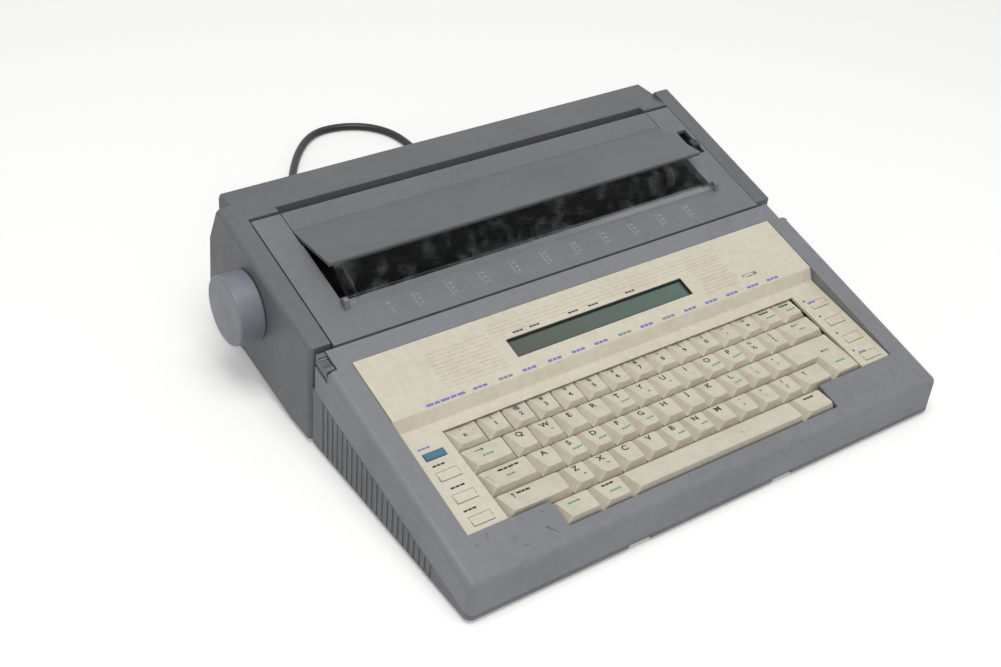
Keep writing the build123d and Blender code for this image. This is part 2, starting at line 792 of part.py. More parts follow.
def key_places():
    """Left and right edge and row of every cap apart from the return cap."""
    places = [(0, unit_row_starts[1], 1)]
    for row in unit_row_starts:
        places += [(x0, x1, row) for x0, x1 in unit_edges(row)]
    return places + list(special_keys.values())


def stem_places():
    """Every stem's place in the key plane."""
    spots = []
    for x0, x1, row in key_places():
        width = x1 - x0
        spots += [((x0 + x1) / 2 + offset, row_start(row) + stem_y) for offset in stem_offsets(width)]
    middle = (return_leg + well_right) / 2
    return spots + [(middle, row_start(4) + y) for y in return_stems]


def make_key_plate():
    """Sheet under the keys with a guide collar for every stem."""
    top, low = -plate_drop, -plate_drop - plate_thickness
    left, right = 4.9 - left_column, keys_width + right_column - 2.9
    plate = box(left, right, -3.5, 5 * key_pitch + 3.25, low, top)
    collars = [Pos(x, s, top + collar_rise / 2) * Cylinder(stem_radius + collar_wall, collar_rise)
               for x, s in stem_places()]
    holes = [Pos(x, s, top) * Cylinder(stem_radius + 0.3, 12) for x, s in stem_places()]
    return key_plane * (plate + collars - holes)


def make_key_board():
    top = -board_drop
    left, right = 6.9 - left_column, keys_width + right_column - 4.9
    board = box(left, right, -2.5, 5 * key_pitch + 2.75, top - board_thickness, top)
    posts = [key_plane.to_local_coords(rod_z(x, key_plane.from_local_coords((x - key_left_x, s, 0)).Y,
                                             plate_post_radius + 0.3, 0, 90)) for x, s in plate_post_places]
    return key_plane * (board - posts)


# Upper case, rear

def cheek_outline(inset):
    """Side outline of the rear housing's cheeks."""
    drop = inset / cos(radians(deck_slope))
    return [(cheek_front_y + inset, housing_bottom_z - 4 * inset),
            (cheek_rise_y, housing_bottom_z - 4 * inset),
            (cheek_back_y - inset, rear_lip_z - 4 * inset), (cheek_back_y - inset, 46.0),
            (cheek_top_y + 13 - inset, 80.0), (cheek_top_y - inset, deck_z(cheek_top_y) - drop),
            (cheek_front_y + inset, deck_z(cheek_front_y) - drop)]


def centre_outline(inset):
    """Side outline of the part between the cheeks, behind the lid, with its level top."""
    drop = inset / cos(radians(deck_slope))
    back = case_depth - inset
    level_y = (rear_top_z - front_top_z) / tan(radians(deck_slope))
    start = lid_back_y - 30
    return [(start, rear_lip_z - 4 * inset), (back, rear_lip_z - 4 * inset), (back, rear_top_z - 5.0),
            (back - 3, rear_top_z - inset), (level_y, rear_top_z - inset), (start, deck_z(start) - drop)]


def make_rear_housing():
    half = cheek_width / 2
    left, right = -lid_half_width - lid_gap_left, lid_half_width + lid_gap_right
    housing = prism(centre_outline(0), -centre_half_width, centre_half_width)
    for x0, x1 in ((-half, left), (right, half)):
        cheek = prism(cheek_outline(0), x0, x1)
        outer = cheek.edges().filter_by(lambda e: abs(abs(e.center().X) - half) < 0.01)
        rounded = [e for e in outer if abs(e.center().Z - deck_z(e.center().Y)) < 0.01
                   or e.center().Y < cheek_front_y + 0.1]
        housing += fillet(rounded, cheek_round)
    housing -= prism(centre_outline(wall), -centre_half_width + wall, centre_half_width - wall)
    for x0, x1 in ((-half + wall, -centre_half_width), (centre_half_width, half - wall)):
        housing -= prism(cheek_outline(wall), x0, x1)
    housing -= box(left, right, cheek_front_y - 10, lid_back_y, -20, 140)
    housing -= box(-tray_inset_half_width - 0.5, tray_inset_half_width + 0.5, cheek_front_y - 1,
                   cheek_front_y + wall + 1, -20, tray_back_z + 1)
    housing -= deck_slab(-centre_half_width, centre_half_width, cheek_front_y + wall, lid_back_y,
                         flange_depth, 200)
    housing += deck_slab(left, right, lid_back_y, lid_back_y + 2, 0.5, flange_depth)
    housing = cut_groove(housing, lid_back_y)
    housing -= box(-tray_inset_half_width - 0.5, tray_inset_half_width + 0.5, tray_back_y - wall - 1,
                   tray_back_y + 0.5, -20, tray_back_z + 1)
    housing -= rod_x(*hinge_point, hinge_pin_radius + running_gap, -half + wall + 1, half - wall - 1)
    housing -= rod_x(*platen_point, knob_hole_radius, -half - 1, -half + wall + 1)
    for x, y in rear_boss_places:
        post = rod_z(x, y, boss_radius - 0.6, boss_top_z + 0.3, rear_top_z - 1)
        housing += post - rod_z(x, y, screw_radius + 0.1, 0, boss_top_z + 10)
    return housing


def cut_groove(housing, back):
    """The finger groove behind the paper support, with its own floor and rear wall."""
    reach = flap_half_width + 0.4
    floor_top = deck_z(back) - groove_depth
    housing += box(-reach - 2, reach + 2, back, groove_back_y + 2, floor_top - 2, floor_top)
    far_y = groove_back_y + 2
    housing += prism([(groove_back_y, floor_top - 2), (far_y, floor_top - 2), (far_y, deck_z(far_y) - 1),
                      (groove_back_y, deck_z(groove_back_y) - 1)], -reach - 2, reach + 2)
    for side in (-1, 1):
        x0, x1 = sorted((side * reach, side * (reach + 2)))
        housing += prism([(back, floor_top - 2), (far_y, floor_top - 2), (far_y, deck_z(far_y) - 1),
                          (back, deck_z(back) - 1)], x0, x1)
    return housing - box(-reach, reach, back - 3, groove_back_y, floor_top, 130)


# Lid, paper support and visor

lever_slot = (chassis_half_width + 1.0, chassis_half_width + 9.6, platen_y - 24.0, platen_y + 1.0)
lid_rib_depth = 6.5


def make_top_lid():
    half = lid_half_width
    lid = deck_slab(-half, half, lid_front_y, hinge_y, 0, lid_thickness)
    low = (lid_lip + lid_thickness) / cos(radians(deck_slope))
    lid += prism([(lid_front_y, deck_z(lid_front_y)), (lid_front_y + 2.6, deck_z(lid_front_y + 2.6) - 1),
                  (lid_front_y + 5.2, deck_z(lid_front_y + 5.2) - low),
                  (lid_front_y + 2.8, deck_z(lid_front_y + 2.8) - low)],
                 -half, half)
    lid -= deck_slab(-window_half_width, window_half_width, window_front_y, window_back_y, -9, 20)
    reach = flap_half_width + flap_open_gap
    lid -= deck_slab(-reach, reach, flap_clear_y, hinge_y + 9, -9, 20)
    for side in (-1, 1):
        x0, x1 = sorted((side * reach, side * half))
        lid += rod_x(*hinge_point, lid_thickness, x0, x1)
        x0, x1 = sorted((side * half, side * (half + 4.6)))
        lid += rod_x(*hinge_point, hinge_pin_radius, x0, x1)
        x0, x1 = sorted((side * (reach + 0.2), side * (reach + 2.2)))
        lid += deck_slab(x0, x1, window_front_y - 4, hinge_y - 6, 1, lid_rib_depth)
    low = lid_thickness + 1.2
    lid += deck_slab(-reach - 1, reach + 1, flap_kink_y + 2, hinge_y - 7, low, low + 2.2)
    x0, x1, y0, y1 = lever_slot
    lid -= deck_slab(x0, x1, y0, y1, -9, 20)
    lid -= rod_x(*hinge_point, 1.26, -reach - 4, reach + 4)
    pivot_y, pivot_z = visor_pivot
    for side in (-1, 1):
        near = visor_half_width + visor_arm_width + 0.5
        x0, x1 = sorted((side * near, side * (near + 3.5)))
        ear = prism([(pivot_y - 4, deck_z(pivot_y - 4) - 1), (pivot_y + 4, deck_z(pivot_y + 4) - 1),
                     (pivot_y + 2.6, pivot_z + 1.6), (pivot_y, pivot_z + 2.8),
                     (pivot_y - 2.6, pivot_z + 1.6)], x0, x1)
        lid += ear
    return lid - rod_x(*visor_pivot, visor_pin_radius + 0.06, -visor_half_width - 9.4, visor_half_width + 9.4)


def make_paper_support():
    """Hinged flap: a rear band in the deck plane, then a nearly level band to the front."""
    thick = lid_thickness
    lean = thick / cos(radians(deck_slope))
    end_y, end_z = hinge_point
    kink = (flap_kink_y, deck_z(flap_kink_y))
    profile = [(hinge_y, deck_z(hinge_y)), kink, (flap_front_y, flap_front_z),
               (flap_front_y - 0.4, flap_front_z - 1.2), (flap_front_y, flap_front_z - thick - 0.6),
               (flap_front_y + 2, flap_front_z - thick), (kink[0] - 1, kink[1] - lean + 0.35),
               (hinge_y - 5.5, deck_z(hinge_y - 5.5) - lean), (end_y, end_z - thick)]
    flap = prism(profile, -flap_half_width, flap_half_width)
    flap += rod_x(*hinge_point, thick, -flap_half_width, flap_half_width)
    flap += rod_x(*hinge_point, 1.2, -flap_half_width - 3, flap_half_width + 3)
    for x in (-100, -50, 0, 50, 100):
        flap += prism([(flap_kink_y - 6, kink[1] - 1.0), (flap_front_y + 5, flap_front_z - 1.0),
                       (flap_front_y + 5, flap_front_z - 3.4), (flap_kink_y - 12, kink[1] - 3.4)],
                      x - 0.8, x + 0.8)
    return flap


def make_visor():
    """Clear window with an arm at each end, turning on its two lower pins."""
    pivot_y, pivot_z = visor_pivot
    top_y, top_z = visor_top_y, visor_top_z
    lean = atan2(top_z - pivot_z, top_y - pivot_y)
    ny, nz = sin(lean) * visor_thickness / 2, -cos(lean) * visor_thickness / 2
    visor = prism([(pivot_y + ny, pivot_z + nz), (top_y + ny, top_z + nz), (top_y - ny, top_z - nz),
                   (pivot_y - ny, pivot_z - nz)],
                  -visor_half_width - visor_arm_width, visor_half_width + visor_arm_width)
    for side in (-1, 1):
        x0, x1 = sorted((side * visor_half_width, side * (visor_half_width + visor_arm_width)))
        arm = rod_x(*visor_pivot, 2.6, x0, x1)
        arm += prism([(pivot_y + 2.6, pivot_z + 1.0), (top_y + 2.0, top_z - 3.4), (top_y + 0.6, top_z + 0.6),
                      (top_y - 1.2, top_z + 0.8), (pivot_y - 1.8, pivot_z + 2.0)], x0, x1)
        visor += arm
        x0, x1 = sorted((side * visor_half_width, side * (visor_half_width + 9.0)))
        visor += rod_x(*visor_pivot, visor_pin_radius, x0, x1)
    foot = Box(2 * visor_half_width, visor_foot + 1.5, visor_foot_thickness)
    visor += Pos(0, *visor_pivot) * Rot(deck_slope, 0, 0) * Pos(0, visor_foot / 2 - 0.75, -1.9) * foot
    return visor


# Chassis and paper feed

def involute(angle):
    return tan(angle) - angle


def gear_outline(teeth, phase):
    """Points of an involute gear with a little backlash, one tooth centred on the phase angle."""
    pitch = gear_module * teeth / 2
    pressure = radians(20)
    base = pitch * cos(pressure)
    tip, root = pitch + 0.85 * gear_module, pitch - 1.15 * gear_module
    half = pi / (2 * teeth) - 0.07 * gear_module / pitch
    flank = []
    for step in range(4):
        radius = max(base, root) + (tip - max(base, root)) * step / 3
        flank.append((radius, half + involute(pressure) - involute(acos(min(1.0, base / radius)))))
    points = []
    for tooth in range(teeth):
        middle = phase + 2 * pi * tooth / teeth
        points.append((root, middle - flank[0][1] - 0.15 / pitch))
        points += [(radius, middle - angle) for radius, angle in flank]
        points += [(radius, middle + angle) for radius, angle in reversed(flank)]
        points.append((root, middle + flank[0][1] + 0.15 / pitch))
    return [(radius * cos(angle), radius * sin(angle)) for radius, angle in points]


def gear(centre, teeth, phase, bore):
    outline = [(centre[0] + y, centre[1] + z) for y, z in gear_outline(teeth, phase)]
    blank = prism(outline, gear_x, gear_x + gear_width)
    return blank - rod_x(*centre, bore, gear_x - 1, gear_x + gear_width + 1)


def idler_centre():
    """Where the idler meshes with both the platen gear and the motor pinion."""
    reach_one = gear_module * (platen_teeth + idler_teeth) / 2
    reach_two = gear_module * (idler_teeth + pinion_teeth) / 2
    dy, dz = motor_y - platen_y, motor_z - platen_z
    apart = hypot(dy, dz)
    along = (reach_one ** 2 - reach_two ** 2 + apart ** 2) / (2 * apart)
    aside = sqrt(reach_one ** 2 - along ** 2)
    uy, uz = dy / apart, dz / apart
    return platen_y + along * uy - aside * uz, platen_z + along * uz + aside * uy


idler_point = idler_centre()


def gear_phases():
    """Tooth phases that put the three gears in mesh at rest."""
    first = atan2(idler_point[1] - platen_z, idler_point[0] - platen_y)
    second = atan2(motor_z - idler_point[1], motor_y - idler_point[0])
    idler_phase = first + pi + pi / idler_teeth
    slip = gear_module * idler_teeth / 2 * (idler_phase - second)
    pinion_phase = second + pi - slip / (gear_module * pinion_teeth / 2) + pi / pinion_teeth
    return first, idler_phase, pinion_phase


feed_angle = radians(feed_roller_angle)
feed_reach = platen_radius + feed_roller_radius + feed_roller_gap
feed_point = (platen_y + feed_reach * cos(feed_angle), platen_z + feed_reach * sin(feed_angle))
feed_shaft_radius = 2.5
feed_roller_spans = [(-92, -60), (-16, 16), (60, 92)]
bush_outer = 7.0
lever_pivot = (platen_y + 14.0, 45.0)
lever_x = (chassis_half_width + 4.0, chassis_half_width + 7.0)


def make_chassis():
    half = chassis_half_width
    chassis = box(-half, half, chassis_front_y, chassis_back_y, floor_z, floor_z + 1.5)
    side = [(chassis_front_y, floor_z), (chassis_back_y, floor_z), (chassis_back_y, 62),
            (platen_y + 25, 82), (platen_y - 17, 82), (platen_y - 35, 58), (chassis_front_y, 50)]
    for x0 in (-half, half - sheet):
        chassis += prism(side, x0, x0 + sheet)
    for y, z in ((front_rod_y, front_rod_z), (rear_rod_y, rear_rod_z)):
        chassis -= rod_x(y, z, rod_radius + 0.02, -half - 1, half + 1)
    chassis -= rod_x(*platen_point, bush_outer, -half - 1, half + 1)
    chassis -= rod_x(*feed_point, feed_shaft_radius + running_gap, -half - 1, half + 1)
    chassis -= rod_x(*motor_point, 3.0, -half - 1, -half + sheet + 1)
    chassis += rod_x(*idler_point, 2.5, gear_x - 1, -half + 0.5)
    chassis += rod_x(*lever_pivot, 3.0, half - 0.5, lever_x[1] + 2)
    return chassis


def make_platen_bushes():
    solids = []
    for side in (-1, 1):
        x0, x1 = sorted((side * (chassis_half_width - sheet - 1.5), side * (chassis_half_width + 1.5)))
        ring = rod_x(*platen_point, bush_outer - 0.02, x0, x1)
        inner = side * (chassis_half_width - sheet)
        x2, x3 = sorted((inner - side * 1.5, inner))
        ring += rod_x(*platen_point, bush_outer + 2, x2, x3)
        solids.append(ring - rod_x(*platen_point, shaft_radius + running_gap, x0 - 1, x1 + 1))
    return group(solids)


shaft_left_x = knob_face_x + 5.3


def make_platen_shaft():
    return rod_x(*platen_point, shaft_radius, shaft_left_x, chassis_half_width + 3)


def make_platen_roller():
    half = platen_half_length
    roller = rod_x(*platen_point, platen_radius, -half, half)
    return roller - rod_x(*platen_point, shaft_radius, -half - 1, half + 1)


def make_platen_knob():
    knob = rod_x(*platen_point, knob_radius, knob_face_x, knob_back_x)
    rims = knob.edges().filter_by(GeomType.CIRCLE)
    knob = fillet(rims.group_by(Axis.X)[0], 1.6)
    knob += rod_x(*platen_point, 6.4, knob_back_x - 1, -cheek_width / 2 + 6)
    return knob - rod_x(*platen_point, shaft_radius, shaft_left_x, 0)


def make_gears():
    first, idler_phase, pinion_phase = gear_phases()
    platen_gear = gear(platen_point, platen_teeth, first, shaft_radius)
    idler = gear(idler_point, idler_teeth, idler_phase, 2.5 + running_gap)
    pinion = gear(motor_point, pinion_teeth, pinion_phase, 2.0)
    return platen_gear, idler, pinion


def make_feed_rollers():
    half = chassis_half_width
    rollers = rod_x(*feed_point, feed_shaft_radius, -half - 2, half + 2)
    for x0, x1 in feed_roller_spans:
        rollers += rod_x(*feed_point, feed_roller_radius, x0, x1)
    return rollers


def make_paper_chute():
    """Curved pan that leads the paper under the platen."""
    inner, outer = platen_radius + 1.6, platen_radius + 2.8
    half = chassis_half_width - sheet
    pan = rod_x(*platen_point, outer, -half, half) - rod_x(*platen_point, inner, -half - 1, half + 1)
    pan -= box(-half - 1, half + 1, platen_y - 40, platen_y + 60, platen_z + 6, platen_z + 60)
    pan -= box(-half - 1, half + 1, platen_y - 40, platen_y - 9, platen_z - 40, platen_z + 60)
    pan += box(-half, half, platen_y + inner, platen_y + outer, platen_z, platen_z + 20)
    for x0, x1 in feed_roller_spans:
        pan -= box(x0 - 1.5, x1 + 1.5, feed_point[0] - 8, feed_point[0] + 8, platen_z - 40, platen_z - 8)
    return pan


def make_release_lever():
    x0, x1 = lever_x
    top_y = platen_y - 16.0
    top_z = deck_z(top_y) + 2.5
    pivot_y, pivot_z = lever_pivot
    arm = prism([(pivot_y - 5, pivot_z), (pivot_y + 3, pivot_z + 4), (top_y + 4, top_z - 8),
                 (top_y + 2.6, top_z), (top_y - 2.6, top_z), (top_y - 3.4, top_z - 9)], x0, x1)
    arm += rod_x(*lever_pivot, 6.0, x0, x1)
    arm += deck_slab(lever_slot[0] + 1.2, lever_slot[1] - 1.2, top_y - 3.2, top_y + 3.5, -2.6, 1.0)
    return arm - rod_x(*lever_pivot, 3.0 + running_gap, x0 - 1, x1 + 1)


# Carriage

def make_guide_rods():
    half = chassis_half_width + 2
    return group([rod_x(front_rod_y, front_rod_z, rod_radius, -half, half),
                  rod_x(rear_rod_y, rear_rod_z, rod_radius, -half, half)])


def make_carriage_frame():
    reach = sleeve_half_length
    frame = rod_x(front_rod_y, front_rod_z, sleeve_radius, -reach, reach)
    frame += rod_x(rear_rod_y, rear_rod_z, sleeve_radius, -reach, reach)
    frame += box(-reach, reach, front_rod_y, rear_rod_y, 17.6, 20.2)
    for side in (-1, 1):
        x0, x1 = sorted((side * (reach - 2), side * reach))
        frame += prism([(front_rod_y - 6, 20), (rear_rod_y + 4, 18), (rear_rod_y + 4, 44),
                        (rear_rod_y - 7, carriage_top_z), (front_rod_y - 6, carriage_top_z)], x0, x1)
    frame += box(-reach, reach, front_rod_y - 6, front_rod_y - 2, carriage_top_z - 10, carriage_top_z)
    clamp_y = belt_y + pulley_radius + belt_thickness + 0.3
    frame += box(-12, 12, clamp_y, clamp_y + 5, belt_z, 18)
    motor_z0 = wheel_z - wheel_motor_radius
    frame -= box(-wheel_motor_radius, wheel_motor_radius, wheel_motor_front_y - 0.1, rear_rod_y + 9,
                 motor_z0, 50)
    for y, z in ((front_rod_y, front_rod_z), (rear_rod_y, rear_rod_z)):
        frame -= rod_x(y, z, rod_radius + running_gap, -reach - 1, reach + 1)
    return frame


def make_wheel_motor():
    back = wheel_y - 3
    motor = rod_y(0, wheel_z, wheel_motor_radius - 0.1, wheel_motor_front_y, back)
    motor += rod_y(0, wheel_z, 2.0, back, wheel_y + wheel_thickness + 1)
    front = wheel_motor_front_y - 2
    holder = box(-9, 9, front, front + 18, wheel_z + wheel_motor_radius - 3, print_z - 7)
    holder += box(-7, 7, front, front + 18, print_z - 8, print_z + 8)
    return motor + holder - rod_y(0, print_z, 2.0 + running_gap, front - 12, wheel_y)


def make_print_hammer():
    rod = rod_y(0, print_z, 2.0, wheel_motor_front_y - 4, wheel_y - 3)
    return rod + box(-0.9, 0.9, wheel_y - 4, wheel_y - 0.6, print_z - 2, print_z + 2)


def make_daisy_wheel():
    hub = rod_y(0, wheel_z, 9.0, wheel_y, wheel_y + wheel_thickness)
    hub += rod_y(0, wheel_z, 4.5, wheel_y - 2, wheel_y + wheel_thickness + 0.6)
    petals = []
    for step in range(wheel_petals):
        petal = Pos(0, 0, (8 + wheel_radius) / 2) * Box(2.4, wheel_thickness, wheel_radius - 8)
        turn = Rot(0, 360 / wheel_petals * (step + 0.5), 0)
        petals.append(Pos(0, wheel_y + wheel_thickness / 2, wheel_z) * turn * petal)
    wheel = hub + petals
    return wheel - rod_y(0, wheel_z, 2.0, wheel_y - 5, wheel_y + 9)


def make_ribbon_cassette():
    """Film ribbon cassette with two arms that hold the ribbon before the print point."""
    low, high = carriage_top_z, carriage_top_z + 13.6
    reach = 39.0
    back = rear_rod_y - 7
    case = box(-reach, reach, front_rod_y - 5.5, back, low, high)
    case = fillet(case.edges().filter_by(Axis.Z), 3.0)
    for side in (-1, 1):
        arm = Polygon((side * 12, back - 2), (side * reach, back - 2), (side * reach, back + 6),
                      (side * 17, ribbon_y + 0.5), (side * 14.5, ribbon_y + 0.5), (side * 14.5, back + 12),
                      align=None)
        case += extrude(Pos(0, 0, low + 2.5) * arm, amount=8.0, dir=(0, 0, 1))
    case += box(-15, 15, ribbon_y, ribbon_y + 0.25, low + 2.7, low + 10.3)
    case -= box(-9.5, 9.5, back - 18, back + 15, low - 1, high + 1)
    case += rod_z(-22, back - 18, 4.0, high, high + 1.8)
    return case


def make_drive_belt():
    """Closed belt round the two pulleys, run level under the carriage."""
    radius = pulley_radius + belt_thickness
    outer = Pos(0, belt_y, belt_z + belt_width / 2) * extrude_slot(pulley_x, radius)
    inner = Pos(0, belt_y, belt_z + belt_width / 2) * extrude_slot(pulley_x, pulley_radius + 0.15)
    return outer - inner


def extrude_slot(reach, radius):
    return extrude(SlotCenterToCenter(2 * reach, 2 * radius), amount=belt_width / 2, both=True)


def pulley(x, bore):
    body = rod_z(x, belt_y, pulley_radius, belt_z, belt_z + belt_width)
    for step in range(20):
        angle = step * pi / 10
        body -= rod_z(x + pulley_radius * cos(angle), belt_y + pulley_radius * sin(angle), 0.4,
                      belt_z - 1, belt_z + belt_width + 1)
    return body - rod_z(x, belt_y, bore, 0, 40)


def make_drive_pulley():
    return pulley(-pulley_x, 2.0) + rod_z(-pulley_x, belt_y, 2.0, belt_z, belt_z + belt_width + 3)


def make_idler_pulley():
    return pulley(pulley_x, 2.0 + running_gap)


def make_motors():
    """The line feed motor and the carriage motor, both on the chassis' left plate."""
    inner = -chassis_half_width + sheet
    feed = rod_x(*motor_point, motor_radius, inner, inner + motor_length)
    feed -= rod_x(*motor_point, 2.0 + running_gap, inner - 1, inner + 12)
    drive = rod_z(-pulley_x, belt_y, 9.5, belt_z + belt_width + 0.6, 40)
    drive -= rod_z(-pulley_x, belt_y, 2.0 + running_gap, 0, 24)
    drive += box(inner, -pulley_x - 8, belt_y - 6, belt_y + 6, belt_z + belt_width + 0.6, 40)
    return group([feed, drive])


def make_pinion(pinion):
    inner = -chassis_half_width + sheet
    return pinion + rod_x(*motor_point, 2.0, gear_x, inner + 10)


def make_pulley_post():
    """Post that carries the idler pulley, screwed to the chassis floor."""
    post = rod_z(pulley_x, belt_y, 2.0, floor_z + 1.5, belt_z + belt_width + 1.5)
    return post + rod_z(pulley_x, belt_y, 4.5, belt_z + belt_width + 0.3, belt_z + belt_width + 1.6)


# Electrics

def make_main_board():
    top = board_z + board_thickness
    board = box(main_board_left, main_board_right, main_board_front, main_board_back, board_z, top)
    chips = [(24, 20, 34, 14), (70, 20, 30, 14), (24, 46, 26, 12), (66, 45, 40, 15), (106, 42, 14, 26)]
    for x, y, width, depth in chips:
        board += Pos(main_board_left + x, main_board_front + y, top + 1.75) * Box(width, depth, 3.7)
    for x in (102, 116, 128):
        board += rod_z(main_board_left + x, main_board_front + 14, 5.0, top - 0.1, top + 12)
    return board


def make_transformer():
    x1, y0 = case_width / 2 - 35.5, panel_step_high_y + 6
    x0, y1 = x1 - 60, y0 + 50
    core = box(x0, x1, y0 + 8, y1 - 8, floor_z, floor_z + 34)
    coils = box(x0 + 10, x1 - 10, y0, y1, floor_z + 7, floor_z + 27)
    feet = box(x0 - 8, x1 + 8, y0 + 14, y1 - 14, floor_z, floor_z + 1.5)
    return core + coils + feet


# Cord

relief_neck_radius = 5.4
relief_tip_radius = 4.2
cord_start_y = tray_back_y + relief_length
cord_floor_z = cord_diameter / 2 + 0.1
coil_left_x = 63.0
coil_centre_y = 386.0
coil_mean_radius = 39.0       # at the middle of its turns
coil_half_turns = 5           # in each of the two layers
coil_step = 3.6               # the radius shrinks by this each half turn
coil_layer = 7.1
coil_start_y = coil_centre_y + cord_diameter
# From the strain relief down to the table, round the loop behind the machine, back to the coil.
cord_points = [(-62, cord_start_y, cord_exit_z), (-62, 374, cord_exit_z), (-62.6, 398, 10.5),
               (-64.5, 428, 4.6), (-55.5, 466, cord_floor_z), (-24.5, 512, cord_floor_z), (2.8, 536, cord_floor_z),
               (30, 536, cord_floor_z), (53, 524, cord_floor_z), (66, 502, cord_floor_z),
               (67, 470, cord_floor_z), (coil_left_x, 431, cord_floor_z),
               (coil_left_x, coil_start_y, cord_floor_z)]


def corner_radii(points):
    """The radius at each corner of a route, as large as its two runs allow."""
    vectors = [Vector(*point) for point in points]
    radii = []
    for before, here, after in zip(vectors, vectors[1:], vectors[2:]):
        turn = radians((here - before).get_angle(after - here))
        shorter = min((here - before).length, (after - here).length)
        radii.append(0.45 * shorter / tan(turn / 2))
    return radii


def tube(path, radius):
    start = path ^ 0
    return sweep(start * Circle(radius), path=path)


def cord_path():
    return FilletPolyline(*cord_points, radius=corner_radii(cord_points))


def make_power_cord():
    return tube(cord_path(), cord_diameter / 2)


def coil_path():
    """Half turns inward on the table, one half turn up, and half turns outward on top."""
    low, high = cord_floor_z, cord_floor_z + coil_layer
    largest = coil_mean_radius + coil_step * (coil_half_turns - 1) / 2
    inward = [largest - coil_step * k for k in range(coil_half_turns)]
    climb = inward[-1] - coil_step
    x, side, y = coil_left_x, -1, coil_centre_y
    arcs = [Line((x, coil_start_y, low), (x, y, low))]
    for index, radius in enumerate(inward + [climb] + inward[::-1]):
        z = low if index <= coil_half_turns else high
        rise = coil_layer if index == coil_half_turns else 0
        reach = hypot(radius, rise / 2)
        middle = (x - side * radius, y + side * reach, z + rise / 2)
        end = (x - side * 2 * radius, y, z + rise)
        arcs.append(ThreePointArc((x, y, z), middle, end))
        x, side = end[0], -side
    end = (x, y + side * cord_diameter, high)
    return Wire(arcs + [Line((x, y, high), end)]), end


def make_cord_coil():
    path, _ = coil_path()
    return tube(path, cord_diameter / 2)


def coil_gap(path, samples=900):
    """Least gap between stretches of the coil more than a quarter turn apart."""
    points = [path.position_at(k / samples) for k in range(samples + 1)]
    step = path.length / samples
    apart = int(pi / 2 * (coil_mean_radius - coil_step * coil_half_turns / 2) / step)
    least = min((points[i] - points[j]).length for i in range(samples + 1)
                for j in range(i + apart, samples + 1))
    return least - cord_diameter


def make_cord_relief():
    """Tapered strain relief, held in the tray's rear wall by a collar on each side."""
    wall_in, wall_out = tray_back_y - wall, tray_back_y
    spine = Pos(cord_exit_x, 0, cord_exit_z) * Rot(-90, 0, 0)
    relief = rod_y(cord_exit_x, cord_exit_z, relief_neck_radius, wall_in - 3, wall_out + 3)
    relief += rod_y(cord_exit_x, cord_exit_z, relief_neck_radius + 1.4, wall_in - 3, wall_in - 0.1)
    relief += rod_y(cord_exit_x, cord_exit_z, relief_neck_radius + 1.4, wall_out + 0.1, wall_out + 3)
    taper = relief_length - 3
    relief += Pos(0, cord_start_y - taper / 2, 0) * spine * Cone(relief_neck_radius, relief_tip_radius, taper)
    for step in range(5):
        y = tray_back_y + 7 + step * 4.6
        ring = rod_y(cord_exit_x, cord_exit_z, relief_neck_radius + 1, y, y + 1.6)
        relief -= ring - rod_y(cord_exit_x, cord_exit_z, relief_tip_radius - 0.2, y, y + 1.6)
    return relief


plug_width = 25.0
plug_height = 20.4
plug_body_length = 30.0
plug_neck_length = 14.0
blade_gap = 12.7
blade_length = 17.0


def make_power_plug():
    """Moulded plug with two plain flat blades, lying beside the coil."""
    _, (x, y, z) = coil_path()
    start = Plane(origin=(x, y, z), x_dir=(1, 0, 0), z_dir=(0, 1, 0))
    neck = [start.offset(0) * Circle(cord_diameter / 2 + 0.8), start.offset(plug_neck_length)
            * RectangleRounded(14, 11, 5.4)]
    body = [start.offset(plug_neck_length) * RectangleRounded(14, 11, 5.4),
            start.offset(plug_neck_length + 10) * RectangleRounded(plug_width, plug_height, 6),
            start.offset(plug_neck_length + plug_body_length) * RectangleRounded(plug_width, plug_height, 6)]
    plug = loft(neck) + loft(body, ruled=True)
    tip = plug_neck_length + plug_body_length
    for side in (-1, 1):
        blade = Pos(side * blade_gap / 2, 0, tip + blade_length / 2 - 0.5) * Box(1.5, 6.3, blade_length + 1)
        plug += start * blade
    return plug


# Where each moving body turns or slides

def joint_places():
    """A point on each joint's axis."""
    key_middle = key_plane.from_local_coords((145, 50, 0))
    contrast = contrast_plane().origin
    switch = switch_axis()
    feed = feed_point
    return {
        "lid": (0, *hinge_point), "paper_support": (0, *hinge_point), "visor": (0, *visor_pivot),
        "platen": (0, *platen_point), "idler": (gear_x, *idler_point), "pinion": (gear_x, *motor_point),
        "feed_rollers": (0, *feed), "release_lever": (lever_x[0], *lever_pivot),
        "carriage": (0, front_rod_y, front_rod_z), "daisy_wheel": (0, wheel_y, wheel_z),
        "hammer": (0, wheel_y, print_z), "drive_pulley": (-pulley_x, belt_y, belt_z),
        "idler_pulley": (pulley_x, belt_y, belt_z), "power_switch": (switch_in_x, *switch),
        "contrast_wheel": (contrast.X, contrast.Y, contrast.Z), "keys": tuple(key_middle),
    }


# Every piece by name

